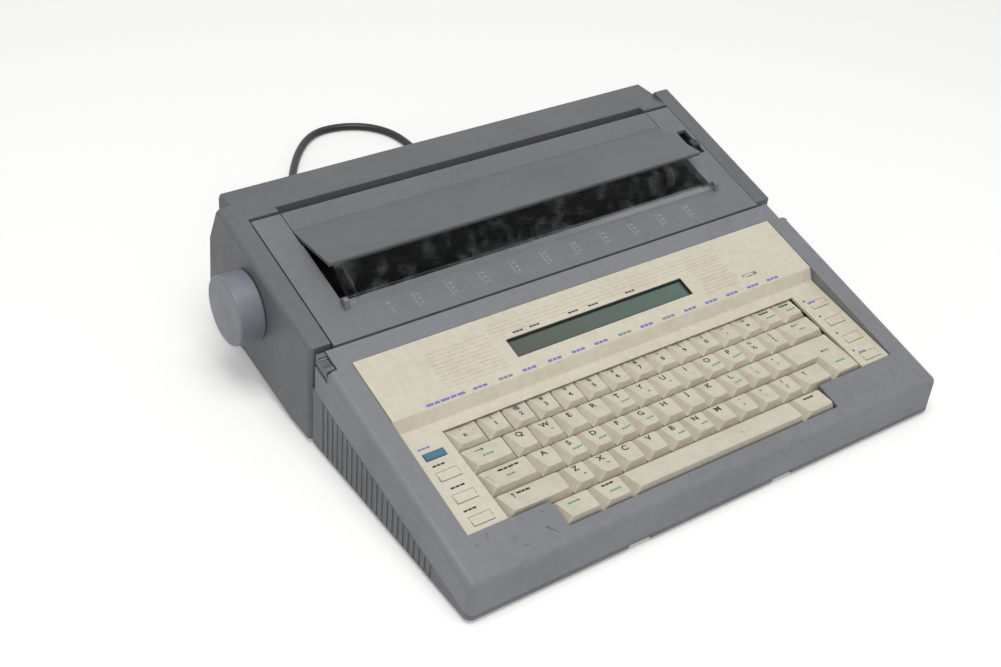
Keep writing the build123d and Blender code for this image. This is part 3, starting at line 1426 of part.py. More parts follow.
rows = {"number_row_keys": 1, "qwerty_row_keys": 2, "home_row_keys": 3, "bottom_row_keys": 4}
pieces = {
    "base_tray": make_base_tray, "front_case": make_front_case, "rear_housing": make_rear_housing,
    "rubber_feet": make_rubber_feet, "case_screws": make_case_screws,
    "keyboard_panel": make_keyboard_panel, "lcd_window": make_lcd_window, "lcd_module": make_lcd_module,
    "contrast_wheel": make_contrast_wheel, "power_switch": make_power_switch,
    "alt_button": make_alt_button, "function_buttons": make_function_buttons,
    "arrow_buttons": make_arrow_buttons, "key_plate": make_key_plate, "key_board": make_key_board,
    "return_key": make_return_key, "top_lid": make_top_lid, "paper_support": make_paper_support,
    "visor": make_visor, "chassis": make_chassis, "platen_bushes": make_platen_bushes,
    "platen_shaft": make_platen_shaft, "platen_roller": make_platen_roller,
    "platen_knob": make_platen_knob, "feed_rollers": make_feed_rollers,
    "paper_chute": make_paper_chute, "paper_release_lever": make_release_lever,
    "guide_rods": make_guide_rods, "carriage_frame": make_carriage_frame, "wheel_motor": make_wheel_motor,
    "print_hammer": make_print_hammer, "daisy_wheel": make_daisy_wheel,
    "ribbon_cassette": make_ribbon_cassette, "drive_belt": make_drive_belt,
    "drive_pulley": make_drive_pulley, "idler_pulley": make_idler_pulley, "pulley_post": make_pulley_post,
    "drive_motors": make_motors, "main_board": make_main_board, "transformer": make_transformer,
    "cord_relief": make_cord_relief, "power_cord": make_power_cord, "cord_coil": make_cord_coil,
    "power_plug": make_power_plug,
}


def write(name, shape):
    export_step(place(shape), f"parts/{name}.step")


def main():
    os.makedirs("parts", exist_ok=True)
    for name, make in pieces.items():
        write(name, make())
    for name, row in rows.items():
        write(name, unit_row(row))
    for name, (x0, x1, row) in special_keys.items():
        write(name, key_cap(x0, x1, row))
    platen_gear, idler, pinion = make_gears()
    write("platen_gear", platen_gear)
    write("feed_idler_gear", idler)
    write("feed_motor_pinion", make_pinion(pinion))
    coil, _ = coil_path()
    print("cord radii", [round(radius, 1) for radius in corner_radii(cord_points)])
    print("cord length", round(relief_length + cord_path().length + coil.length, 1))
    print("coil gap", round(coil_gap(coil), 2))
    for name, (x, y, z) in joint_places().items():
        print("joint", name, round(x - middle_x, 3), round(y - middle_y, 3), round(z, 3))


main()
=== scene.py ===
# %% [markdown]
# # A portable electric typewriter
# The machine is a grey moulded case with a cream keyboard panel, a clear visor over a dark
# platen well, a hinged paper support and a knob on the left. The shapes come packed, with every
# moving piece on its own body. This file gives them their finishes, prints the plain marks on
# keys, panel and lid, lays the mains cord and sets up a small studio.

# %% Load the frame
import math

import bmesh
import bpy
from mathutils import Matrix, Vector
from mathutils.bvhtree import BVHTree


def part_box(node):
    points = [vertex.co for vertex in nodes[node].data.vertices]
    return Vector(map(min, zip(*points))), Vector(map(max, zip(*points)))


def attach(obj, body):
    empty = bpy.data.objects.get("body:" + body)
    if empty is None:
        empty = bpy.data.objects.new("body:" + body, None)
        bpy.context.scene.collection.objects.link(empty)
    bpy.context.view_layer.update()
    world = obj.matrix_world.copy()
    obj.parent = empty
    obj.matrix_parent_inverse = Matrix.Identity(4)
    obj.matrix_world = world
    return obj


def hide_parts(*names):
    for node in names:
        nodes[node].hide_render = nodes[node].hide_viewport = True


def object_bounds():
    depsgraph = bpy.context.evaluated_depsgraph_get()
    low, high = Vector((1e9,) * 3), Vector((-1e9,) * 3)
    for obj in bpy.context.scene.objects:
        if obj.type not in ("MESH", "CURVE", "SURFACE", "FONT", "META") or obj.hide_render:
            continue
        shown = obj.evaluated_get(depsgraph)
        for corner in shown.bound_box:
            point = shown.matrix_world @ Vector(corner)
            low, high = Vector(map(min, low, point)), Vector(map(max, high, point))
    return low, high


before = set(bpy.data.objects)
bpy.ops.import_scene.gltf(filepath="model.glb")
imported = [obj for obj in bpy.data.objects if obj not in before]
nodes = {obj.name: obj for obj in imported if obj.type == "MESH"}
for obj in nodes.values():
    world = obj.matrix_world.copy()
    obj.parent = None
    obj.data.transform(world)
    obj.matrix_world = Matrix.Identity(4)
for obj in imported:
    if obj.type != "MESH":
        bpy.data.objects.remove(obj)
packed_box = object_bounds()

# %% [markdown]
# ## Measures
# The machine was drawn with X from the middle of the case and Y from its front edge. The frame
# has its origin under the middle of everything, knob included, so one small function turns
# drawing millimetres into frame metres. The deck of the case slopes at 14.5 degrees and the
# keyboard at 10, and both planes get a matrix, so that print can be laid on them flat.

# %% Places on the machine
deck_slope = math.radians(14.5)
deck_front_z = 29.8
key_slope = math.radians(10)
key_pitch = 19.05
key_left_x = -144.5
key_front_y = 11.5
key_front_z = 31.923
middle_x = -9.15
middle_y = 165.0


def at(x, y, z):
    return Vector(((x - middle_x) / 1000, (y - middle_y) / 1000, z / 1000))


def deck_z(y):
    return deck_front_z + y * math.tan(deck_slope)


def sloped(x, y, z, slope):
    """A matrix for marks that lie on a slope: its X runs right, its Y up the slope."""
    return Matrix.Translation(at(x, y, z)) @ Matrix.Rotation(slope, 4, "X")


def on_deck(x, y):
    return sloped(x, y, deck_z(y), deck_slope)


def on_keys(x, s, lift):
    """A place in the key plane: x from the left edge of the keys, s up the slope."""
    y = key_front_y + s * math.cos(key_slope) - lift * math.sin(key_slope)
    z = key_front_z + s * math.sin(key_slope) + lift * math.cos(key_slope)
    return sloped(key_left_x + x, y, z, key_slope)


low, high = packed_box
print("size in mm", [round((b - a) * 1000) for a, b in zip(low, high)])

# %% [markdown]
# ## Camera
# The place and turn of the camera were fitted to the case corners, the key rows and the lid in
# the photograph. A pinhole fit gives a focal length in pixels, and on a sensor 36 mm wide that
# becomes a 52.2 mm lens. The rows below are the camera's right, down and forward directions.

# %% Camera
focal_pixels = 1451.36
image_width = 1001
camera_place = (-530.89, -445.98, 615.61)
right = Vector((0.82086868, -0.56646643, 0.07273510))
down = Vector((-0.28801382, -0.52056801, -0.80377670))
forward = Vector((0.49317608, 0.63884641, -0.59046814))


def put(name, data):
    """A new object that holds this data, linked to the scene."""
    thing = bpy.data.objects.new(name, data)
    bpy.context.scene.collection.objects.link(thing)
    return thing


camera_data = bpy.data.cameras.new("camera")
camera_data.sensor_width = 36.0
camera_data.lens = focal_pixels / image_width * camera_data.sensor_width
camera_data.clip_start = 0.05
camera = put("camera", camera_data)
turn = Matrix((right, -down, -forward)).transposed()
camera.matrix_world = Matrix.Translation(at(*camera_place)) @ turn.to_4x4()
bpy.context.scene.camera = camera
print("lens", round(camera_data.lens, 2))

# %% [markdown]
# ## Helpers for finishes
# Colours are written as the hex values that a screen shows, and one function turns them to the
# linear values that the renderer needs. One more function adds a node with its settings and
# links. Every finish is a node tree made with these two.

# %% Colour and nodes


def colour(code):
    """A hex colour such as #76787B as linear red, green, blue and alpha."""
    values = [int(code[i:i + 2], 16) / 255 for i in (1, 3, 5)]
    return [v / 12.92 if v < 0.04045 else ((v + 0.055) / 1.055) ** 2.4 for v in values] + [1.0]


def add(tree, kind, inputs=None, **settings):
    """Adds a node. Inputs may be numbers, colours or another node's output."""
    node = tree.nodes.new(kind)
    for name, value in settings.items():
        setattr(node, name, value)
    for key, value in (inputs or {}).items():
        if isinstance(value, bpy.types.NodeSocket):
            tree.links.new(value, node.inputs[key])
        else:
            node.inputs[key].default_value = value
    return node


def fresh(name):
    """A new material with its shader and the place on the object in metres."""
    material = bpy.data.materials.new(name)
    material.use_nodes = True
    tree = material.node_tree
    shader = tree.nodes["Principled BSDF"]
    place = add(tree, "ShaderNodeTexCoord").outputs["Object"]
    return material, tree, shader, place


def per_mm(size):
    """Noise scale, in cells a metre, for a pattern with features of this many millimetres."""
    return 1000.0 / size


# %% [markdown]
# ## Rubber and cable
# The platen, the feet and the feed rollers are ground rubber: dark and dull, with the fine pits
# that grinding leaves. The sheath of the mains cord is extruded PVC of the same black, but
# smoother, so it takes the same recipe with coarser pits and a lower roughness.

# %% Rubber


def rubber(name, base, pitted, grain, rough):
    material, tree, shader, place = fresh(name)
    pits = add(tree, "ShaderNodeTexNoise", {"Vector": place, "Scale": per_mm(grain), "Detail": 4.0})
    mix = add(tree, "ShaderNodeMix", {"Factor": pits.outputs["Fac"], "A": colour(base),
                                      "B": colour(pitted)}, data_type="RGBA")
    bump = add(tree, "ShaderNodeBump", {"Height": pits.outputs["Fac"], "Strength": 0.3,
                                        "Distance": 0.00002})
    tree.links.new(mix.outputs["Result"], shader.inputs["Base Color"])
    tree.links.new(bump.outputs[0], shader.inputs["Normal"])
    shader.inputs["Roughness"].default_value = rough
    shader.inputs["IOR"].default_value = 1.52
    return material


platen_rubber = rubber("platen_ground_rubber", "#0D0C0C", "#131212", 2.5, 0.8)
platen_rubber.node_tree.nodes["Principled BSDF"].inputs["Specular IOR Level"].default_value = 0.25
foot_rubber = rubber("foot_rubber", "#151516", "#2A2A2C", 0.9, 0.75)
cable_pvc = rubber("cable_pvc_black", "#101012", "#1C1C1E", 1.5, 0.4)
print("rubbers", platen_rubber.name, foot_rubber.name, cable_pvc.name)

# %% [markdown]
# ## The mains cord
# The cord is a 6.5 mm PVC lead about 1.7 m long. It leaves the rear wall through its strain
# relief, drops to the table, goes round a loose loop behind the machine and is wound into two
# neat layers. A smooth spline through listed points gives the loose part, and a loop places the
# points of each half turn of the coil, inward below and outward on top.

# %% Route of the cord
cord_diameter = 6.5
table_z = cord_diameter / 2 + 0.1
coil_left_x = 63.0
coil_centre_y = 386.0
coil_mean_radius = 39.0
coil_half_turns = 5
coil_step = 3.6
coil_layer = 7.1
half_turn_points = 8
route = [(-62, 352.5, 15), (-62, 374, 15), (-62.6, 398, 10.5), (-64.5, 428, 4.6),
         (-55.5, 466, table_z), (-24.5, 512, table_z), (2.8, 536, table_z), (30, 536, table_z),
         (53, 524, table_z), (66, 502, table_z), (67, 470, table_z), (coil_left_x, 431, table_z),
         (coil_left_x, coil_centre_y + cord_diameter, table_z)]


def coil_points():
    """Points on each half turn: inward on the table, up in one half turn, outward on top."""
    largest = coil_mean_radius + coil_step * (coil_half_turns - 1) / 2
    inward = [largest - coil_step * k for k in range(coil_half_turns)]
    radii = inward + [inward[-1] - coil_step] + inward[::-1]
    x, side, points = coil_left_x, -1, []
    for index, radius in enumerate(radii):
        z = table_z if index <= coil_half_turns else table_z + coil_layer
        rise = coil_layer if index == coil_half_turns else 0
        centre = x - side * radius
        for step in range(1, half_turn_points + 1):
            turned = math.pi * step / half_turn_points
            points.append((centre + side * radius * math.cos(turned),
                           coil_centre_y + side * radius * math.sin(turned),
                           z + rise * step / half_turn_points))
        x, side = centre - side * radius, -side
    return points + [(x, coil_centre_y + cord_diameter, table_z + coil_layer)]


cord_points = route + coil_points()
print("cord points", len(cord_points))

# %% [markdown]
# A NURBS spline of order 3 runs smoothly past the points and ends on the first and the last. A
# round bevel gives it the thickness of the cord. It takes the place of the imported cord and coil,
# while the strain relief and the plug stay where they are.

# %% Cord on its spline
cord_curve = bpy.data.curves.new("mains_cord", "CURVE")
cord_curve.dimensions = "3D"
cord_curve.bevel_depth = cord_diameter / 2000
cord_curve.bevel_resolution = 5
cord_curve.resolution_u = 8
spline = cord_curve.splines.new("NURBS")
spline.points.add(len(cord_points) - 1)
for point, place in zip(spline.points, cord_points):
    point.co = (*at(*place), 1.0)
spline.order_u = 3
spline.use_endpoint_u = True
cord_curve.materials.append(cable_pvc)
mains_cord = put("mains_cord", cord_curve)
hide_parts("power_cord", "cord_coil")
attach(mains_cord, "case")

# %% [markdown]
# ## Moulded ABS
# Case, lid, panel and caps are injection moulded ABS. A spark-eroded mould leaves a fine grain,
# which breaks up the highlight, so the roughness is high and a small bump carries the grain.
# The real grain is about 0.3 mm; it is drawn at about 0.9 mm so that it shows. Old ABS also
# shows cloudy handling marks, a few centimetres across, which are a slow noise in the colour,
# and small specks of dirt from a finer noise.

# %% Moulded plastic
grain_depth = 0.05
speck_size = 5.0
most_soiled = 0.6


def moulded_abs(name, base, soiled, rough, grain=0.9, cloud=45.0):
    material, tree, shader, place = fresh(name)
    slow = add(tree, "ShaderNodeTexNoise", {"Vector": place, "Scale": per_mm(cloud),
                                            "Detail": 5.0, "Roughness": 0.62})
    spots = add(tree, "ShaderNodeTexNoise", {"Vector": place, "Scale": per_mm(speck_size),
                                             "Detail": 3.0})
    both = add(tree, "ShaderNodeMath", {0: slow.outputs["Fac"], 1: spots.outputs["Fac"]},
               operation="MULTIPLY")
    ramp = add(tree, "ShaderNodeMapRange", {"Value": both.outputs[0], "From Min": 0.18,
                                            "From Max": 0.38, "To Min": 0.0,
                                            "To Max": most_soiled})
    mix = add(tree, "ShaderNodeMix", {"Factor": ramp.outputs[0], "A": colour(base),
                                      "B": colour(soiled)}, data_type="RGBA")
    mix.name = "soiling"
    tree.links.new(mix.outputs["Result"], shader.inputs["Base Color"])
    gloss = add(tree, "ShaderNodeMapRange", {"Value": slow.outputs["Fac"], "From Min": 0.3,
                                             "From Max": 0.7, "To Min": rough - 0.06,
                                             "To Max": rough + 0.08})
    tree.links.new(gloss.outputs[0], shader.inputs["Roughness"])
    fine = add(tree, "ShaderNodeTexNoise", {"Vector": place, "Scale": per_mm(grain),
                                            "Detail": 2.0})
    bump = add(tree, "ShaderNodeBump", {"Height": fine.outputs["Fac"], "Strength": 0.5,
                                        "Distance": grain_depth / 1000})
    tree.links.new(bump.outputs[0], shader.inputs["Normal"])
    shader.inputs["IOR"].default_value = 1.53
    return material


case_abs = moulded_abs("case_abs_grey", "#7D7F84", "#717378", rough=0.5)
deck_abs = moulded_abs("deck_abs_grey", "#646568", "#5A5B5E", rough=0.52)
lid_abs = moulded_abs("lid_abs_grey", "#737478", "#68696D", rough=0.5)
tray_abs = moulded_abs("tray_abs_grey", "#6A6E70", "#5D6163", rough=0.54)
flap_abs = moulded_abs("flap_abs_grey", "#6A6E71", "#616568", rough=0.47, grain=0.7, cloud=70.0)
knob_abs = moulded_abs("knob_abs_grey", "#7C7F88", "#70737B", rough=0.45)
panel_abs = moulded_abs("panel_abs_cream", "#D6D0BE", "#C6BFA8", rough=0.5, grain=0.8, cloud=60.0)
key_abs = moulded_abs("key_abs_cream", "#D3CDBC", "#C2BBA6", rough=0.46, grain=0.7, cloud=25.0)
blue_abs = moulded_abs("button_abs_blue", "#3F7088", "#355F75", rough=0.42, grain=0.6)
black_abs = moulded_abs("black_abs", "#1D1D1F", "#27272A", rough=0.5)
nylon = moulded_abs("nylon_white", "#DDDACB", "#CFCBB8", rough=0.38)
print("moulded plastics made")

# %% [markdown]
# ## Scuffs on the palm rest
# The front of the case has a few dark scuffs from years on a desk. Each is a short stroke that
# thins out at one end. A stroke is drawn in the material: nodes measure how far a point is from
# the line between the stroke's two ends, and where that is less than its half width the colour
# turns dark. No picture is needed, and the marks stay where they are from any side.

# %% Strokes in the case material
scuffs = [((-128.3, 15.4), (-123.2, 9.4), 1.1), ((-163.1, 26.5), (-165.3, 21.8), 0.6),
          ((-150.1, 18.6), (-148.2, 16.3), 0.6), ((-146.5, 10.6), (-143.5, 8.8), 0.5),
          ((-125.7, 26.3), (-123.4, 23.4), 0.5), ((-173.0, 22.5), (-171.3, 21.0), 0.7)]


def add_scuffs(material):
    tree = material.node_tree
    place = tree.nodes["Texture Coordinate"].outputs["Object"]
    flat = add(tree, "ShaderNodeVectorMath", {0: place, 1: (1.0, 1.0, 0.0)}, operation="MULTIPLY")
    ragged = add(tree, "ShaderNodeTexNoise", {"Vector": place, "Scale": per_mm(1.5),
                                              "Detail": 3.0})
    total = None
    for first, last, half_width in scuffs:
        start = at(*first, 0.0)
        along = at(*last, 0.0) - start
        off = add(tree, "ShaderNodeVectorMath", {0: flat.outputs[0], 1: start},
                  operation="SUBTRACT")
        dot = add(tree, "ShaderNodeVectorMath",
                  {0: off.outputs[0], 1: along / along.length_squared}, operation="DOT_PRODUCT")
        part = add(tree, "ShaderNodeClamp", {"Value": dot.outputs["Value"]})
        foot = add(tree, "ShaderNodeVectorMath", {0: along, "Scale": part.outputs[0]},
                   operation="SCALE")
        gap = add(tree, "ShaderNodeVectorMath", {0: off.outputs[0], 1: foot.outputs[0]},
                  operation="DISTANCE")
        reach = add(tree, "ShaderNodeMapRange", {"Value": part.outputs[0],
                                                 "To Min": half_width / 1000,
                                                 "To Max": half_width / 4000})
        share = add(tree, "ShaderNodeMath", {0: gap.outputs["Value"], 1: reach.outputs[0]},
                    operation="DIVIDE")
        stroke = add(tree, "ShaderNodeMapRange", {"Value": share.outputs[0], "From Min": 1.1,
                                                  "From Max": 0.5})
        if total is not None:
            stroke = add(tree, "ShaderNodeMath", {0: stroke.outputs[0], 1: total},
                         operation="MAXIMUM")
        total = stroke.outputs[0]
    worn = add(tree, "ShaderNodeMath", {0: total, 1: ragged.outputs["Fac"]}, operation="MULTIPLY")
    dark = add(tree, "ShaderNodeMix", {"Factor": worn.outputs[0],
                                       "A": tree.nodes["soiling"].outputs["Result"],
                                       "B": colour("#2B2C30")}, data_type="RGBA")
    tree.links.new(dark.outputs["Result"], tree.nodes["Principled BSDF"].inputs["Base Color"])


add_scuffs(case_abs)
print("scuffs", len(scuffs))

# %% [markdown]
# ## Painted shade on the paper support
# The paper support is one moulding with a kink. Its wide front band, which leans to the front,
# is painted darker than the narrow rear band, as painted shade for the way that band turns from
# the light. A step in the material along Y, a millimetre wide, stands at the kink.

# %% Painted shade on the front band of the paper support
kink_share = 0.735
kink_half_step = 0.0005
painted_shade_share = 0.45
flap_low, flap_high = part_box("paper_support")
kink_y = flap_low[1] + kink_share * (flap_high[1] - flap_low[1])
flap_tree = flap_abs.node_tree
flap_place = flap_tree.nodes["Texture Coordinate"].outputs["Object"]
back = add(flap_tree, "ShaderNodeSeparateXYZ", {"Vector": flap_place}).outputs["Y"]
step = add(flap_tree, "ShaderNodeMapRange", {"Value": back, "From Min": kink_y - kink_half_step,
                                             "From Max": kink_y + kink_half_step,
                                             "To Min": painted_shade_share, "To Max": 0.0})
# The front band mixes towards a darker grey: painted shade, not a colour of the plastic.
painted_shade_mix = add(flap_tree, "ShaderNodeMix", {"Factor": step.outputs[0],
                                         "A": flap_tree.nodes["soiling"].outputs["Result"],
                                         "B": colour("#4C5153")}, data_type="RGBA")
flap_tree.links.new(painted_shade_mix.outputs["Result"],
                    flap_tree.nodes["Principled BSDF"].inputs["Base Color"])
print("kink at", round(kink_y, 4))

# %% [markdown]
# ## Metals
# Inside are zinc-plated sheet, ground steel rod, plated motor cans and a varnished iron core.
# Metals keep the default index of refraction. A noise in the roughness, stretched along the
# way the metal was drawn or ground, gives each its direction.

# %% Steel


def steel(name, base, rough, stretch):
    material, tree, shader, place = fresh(name)
    lines = add(tree, "ShaderNodeMapping", {"Vector": place, "Scale": stretch})
    noise = add(tree, "ShaderNodeTexNoise", {"Vector": lines.outputs[0], "Scale": per_mm(1.2),
                                             "Detail": 3.0})
    gloss = add(tree, "ShaderNodeMapRange", {"Value": noise.outputs["Fac"], "To Min": rough - 0.08,
                                             "To Max": rough + 0.12})
    tree.links.new(gloss.outputs[0], shader.inputs["Roughness"])
    shader.inputs["Base Color"].default_value = colour(base)
    shader.inputs["Metallic"].default_value = 1.0
    return material


zinc = steel("zinc_plated_sheet", "#A9ACAF", 0.38, (1.0, 1.0, 1.0))
rod_steel = steel("ground_steel_rod", "#B9BABC", 0.22, (0.05, 1.0, 1.0))
motor_steel = steel("plated_motor_steel", "#8C8D90", 0.34, (1.0, 1.0, 0.2))
iron = steel("varnished_iron", "#3A3B3E", 0.5, (1.0, 0.1, 1.0))
print("metals made")

# %% [markdown]
# ## Circuit boards
# Solder mask is a thin green lacquer over copper. Tracks under it show as slightly lighter
# lines; square cells of noise stand for them. The real spacing is about 1 mm, drawn at 3 mm.

# %% Solder mask
board_mask, board_tree, board_shader, board_place = fresh("solder_mask_green")
cells = add(board_tree, "ShaderNodeTexVoronoi", {"Vector": board_place, "Scale": per_mm(3.0)},
            distance="CHEBYCHEV", feature="F1")
track = add(board_tree, "ShaderNodeMath", {0: cells.outputs["Distance"], 1: 0.42},
            operation="GREATER_THAN")
lacquer = add(board_tree, "ShaderNodeMix", {"Factor": track.outputs[0], "A": colour("#1F4A33"),
                                            "B": colour("#2D6647")}, data_type="RGBA")
board_tree.links.new(lacquer.outputs["Result"], board_shader.inputs["Base Color"])
board_shader.inputs["Roughness"].default_value = 0.3
print("solder mask made")

# %% [markdown]
# ## Display
# The display is a reflective liquid crystal cell behind clear acrylic: a grey green that turns
# browner on the left, where the polariser has aged, and bluer on the right, with a faint grid
# of character cells 3.6 mm wide. A coat gives the gloss of the acrylic over it.

# %% Liquid crystal cell
cell_width = 0.0036
display_half_width = 73.2
display_glass, cell_tree, cell_shader, cell_place = fresh("display_cell_green")
across = add(cell_tree, "ShaderNodeSeparateXYZ", {"Vector": cell_place}).outputs["X"]
aged = add(cell_tree, "ShaderNodeMapRange", {"Value": across,
                                             "From Min": at(-display_half_width, 0, 0).x,
                                             "From Max": at(display_half_width, 0, 0).x})
tint = add(cell_tree, "ShaderNodeMix", {"Factor": aged.outputs[0], "A": colour("#474F42"),
                                        "B": colour("#466359")}, data_type="RGBA")
wave = add(cell_tree, "ShaderNodeMath", {0: across, 1: 1 / cell_width}, operation="MULTIPLY")
part = add(cell_tree, "ShaderNodeMath", {0: wave.outputs[0]}, operation="FRACT")
gap = add(cell_tree, "ShaderNodeMath", {0: part.outputs[0], 1: 0.12}, operation="LESS_THAN")
faint = add(cell_tree, "ShaderNodeMath", {0: gap.outputs[0], 1: 0.12}, operation="MULTIPLY")
cell_mix = add(cell_tree, "ShaderNodeMix", {"Factor": faint.outputs[0], "A": tint.outputs["Result"],
                                            "B": colour("#333F38")}, data_type="RGBA")
cell_tree.links.new(cell_mix.outputs["Result"], cell_shader.inputs["Base Color"])
cell_shader.inputs["Roughness"].default_value = 0.15
cell_shader.inputs["IOR"].default_value = 1.49
cell_shader.inputs["Coat Weight"].default_value = 0.4
print("display cell made")

# %% [markdown]
# ## Visor
# The visor is clear acrylic, dusty and scratched from use. Real glass shading would need many
# samples to see through two surfaces, so it mixes a mostly see-through surface with a thin pale
# film. A noise shows the film as dust and smudges, and Layer Weight makes it more opaque towards
# grazing angles: there its gloss is real, and its pale colour is a painted reflection.

# %% Clear acrylic
visor_acrylic, visor_tree, visor_shader, visor_place = fresh("visor_acrylic")
dust = add(visor_tree, "ShaderNodeTexNoise", {"Vector": visor_place, "Scale": per_mm(12.0),
                                              "Detail": 6.0, "Roughness": 0.7})
haze = add(visor_tree, "ShaderNodeMapRange", {"Value": dust.outputs["Fac"], "From Min": 0.5,
                                              "From Max": 0.8, "To Min": 0.0, "To Max": 0.07})
grazing = add(visor_tree, "ShaderNodeLayerWeight", {"Blend": 0.25})
# Pale film shown more at grazing angles: a painted reflection on top of the real gloss.
painted_rim_sheen = add(visor_tree, "ShaderNodeMath", {0: grazing.outputs["Fresnel"], 1: 0.22},
          operation="MULTIPLY")
dust_and_painted_sheen = add(visor_tree, "ShaderNodeMath", {0: haze.outputs[0], 1: painted_rim_sheen.outputs[0]}, operation="ADD",
           use_clamp=True)
visor_tree.links.new(dust_and_painted_sheen.outputs[0], visor_shader.inputs["Alpha"])
# The pale colour is the dust and, at grazing angles, a painted reflection.
visor_shader.inputs["Base Color"].default_value = colour("#C9D0D0")
visor_shader.inputs["Roughness"].default_value = 0.1
visor_shader.inputs["IOR"].default_value = 1.49
print("visor made")

# %% [markdown]
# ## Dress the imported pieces
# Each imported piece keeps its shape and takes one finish. Sharp moulded edges catch a thin line
# of light because a mould always has a small radius, so the plastic pieces get a bevel of a
# few tenths of a millimetre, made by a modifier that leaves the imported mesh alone.

# %% Finishes by piece
key_nodes = ["number_row_keys", "qwerty_row_keys", "home_row_keys", "bottom_row_keys", "tab_key",
             "shift_lock_key", "left_shift_key", "right_shift_key", "return_key", "backspace_key",
             "space_bar", "code_key", "word_key", "correct_key"]
finishes = {
    case_abs: ["front_case"],
    deck_abs: ["rear_housing", "power_switch"],
    lid_abs: ["top_lid"],
    tray_abs: ["base_tray"],
    flap_abs: ["paper_support"],
    knob_abs: ["platen_knob"],
    panel_abs: ["keyboard_panel", "function_buttons", "arrow_buttons", "contrast_wheel"],
    key_abs: key_nodes,
    blue_abs: ["alt_button"],
    black_abs: ["paper_chute", "paper_release_lever", "carriage_frame", "ribbon_cassette",
                "daisy_wheel"],
    platen_rubber: ["platen_roller", "feed_rollers"],
    foot_rubber: ["rubber_feet", "drive_belt"],
    cable_pvc: ["cord_relief", "power_plug", "power_cord", "cord_coil"],
    zinc: ["key_plate", "chassis"],
    rod_steel: ["guide_rods", "platen_shaft", "case_screws", "pulley_post", "print_hammer"],
    motor_steel: ["drive_motors", "wheel_motor"],
    iron: ["transformer"],
    nylon: ["platen_bushes", "platen_gear", "feed_idler_gear", "feed_motor_pinion", "drive_pulley",
            "idler_pulley"],
    board_mask: ["lcd_module", "key_board", "main_board"],
    display_glass: ["lcd_window"],
    visor_acrylic: ["visor"],
}
for finish, names in finishes.items():
    for name in names:
        data = nodes[name].data
        data.materials.clear()
        data.materials.append(finish)
print("dressed", sum(len(names) for names in finishes.values()))

# %% [markdown]
# A bevel rounds only the edges that turn by more than 40 degrees, so curved walls stay as they
# are. Each width is the radius, in millimetres, that the mould of that piece would have.

# %% Moulded edges
edge_radii = {"front_case": 0.5, "rear_housing": 0.5, "top_lid": 0.35, "paper_support": 0.4,
              "keyboard_panel": 0.25, "platen_knob": 0.3, "base_tray": 0.2, "alt_button": 0.3,
              "function_buttons": 0.25, "arrow_buttons": 0.25}
edge_radii.update({name: 0.25 for name in key_nodes})
for name, width in edge_radii.items():
    bevel = nodes[name].modifiers.new("moulded_edge", "BEVEL")
    bevel.width = width / 1000
    bevel.segments = 2
    bevel.limit_method = "ANGLE"
    bevel.angle_limit = math.radians(40)
print("bevels", len(edge_radii))

# %% [markdown]
# ## Display bezel
# A thin black liner stands round the display window and hides the cut edge of the panel. It is
# a closed ring of four walls, built from four corners, each with an outer and an inner place at
# the top and at the bottom of the recess. One function builds it and the two trim pieces after
# it: walls run from each ring of places to the next, and the two ends are shut unless the last
# ring leads back to the first.

# %% Black liner of the window
bezel_low_y = 126.25
bezel_high_y = 141.15
bezel_half_x = 73.15
bezel_wall = 0.6
bezel_top = 0.1
bezel_bottom = 3.3


def trim_piece(name, levels, finish, round_again=False):
    form = bmesh.new()
    rings = [[form.verts.new(place) for place in level] for level in levels]
    followers = rings[1:] + rings[:1] if round_again else rings[1:]
    for ring, other in zip(rings, followers):
        for i in range(len(ring)):
            j = (i + 1) % len(ring)
            form.faces.new((ring[i], ring[j], other[j], other[i]))
    if not round_again:
        form.faces.new(rings[0][::-1])
        form.faces.new(rings[-1])
    bmesh.ops.recalc_face_normals(form, faces=form.faces)
    mesh = bpy.data.meshes.new(name)
    form.to_mesh(mesh)
    form.free()
    mesh.materials.append(finish)
    print(name, "faces", len(mesh.polygons))
    return put(name, mesh)


def bezel_ring(inset, under):
    """Four corners of the liner, inset from the recess and so far under the deck plane."""
    ring = []
    for side, back in ((-1, 0), (1, 0), (1, 1), (-1, 1)):
        y = bezel_high_y - inset if back else bezel_low_y + inset
        ring.append(at(side * (bezel_half_x - inset), y, deck_z(y) - under / math.cos(deck_slope)))
    return ring


display_bezel = trim_piece("display_bezel", [
    bezel_ring(0.0, bezel_top), bezel_ring(bezel_wall, bezel_top),
    bezel_ring(bezel_wall, bezel_bottom), bezel_ring(0.0, bezel_bottom)], black_abs, True)
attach(display_bezel, "case")

# %% [markdown]
# The clear pane of the display stands a little under the deck, on the crystal cell. It is built
# from the same corners as the liner, with its upper edge drawn in a little as a chamfer.

# %% Display pane
pane_top = 1.9
pane_chamfer = 0.2
display_pane = trim_piece("display_pane", [
    bezel_ring(bezel_wall, bezel_bottom), bezel_ring(bezel_wall, pane_top + pane_chamfer),
    bezel_ring(bezel_wall + pane_chamfer, pane_top)], display_glass)
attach(display_pane, "case")

# %% [markdown]
# ## Lip behind the keys
# Along the back of the key well the panel has a thin lip that reaches over the rear edges of
# the back row, so that no dust falls in. It is a strip with a rounded front edge, drawn as a
# profile across the slope and swept from one side of the well to the other. The caps slope
# away under it, so it stays clear of them when they are pressed.

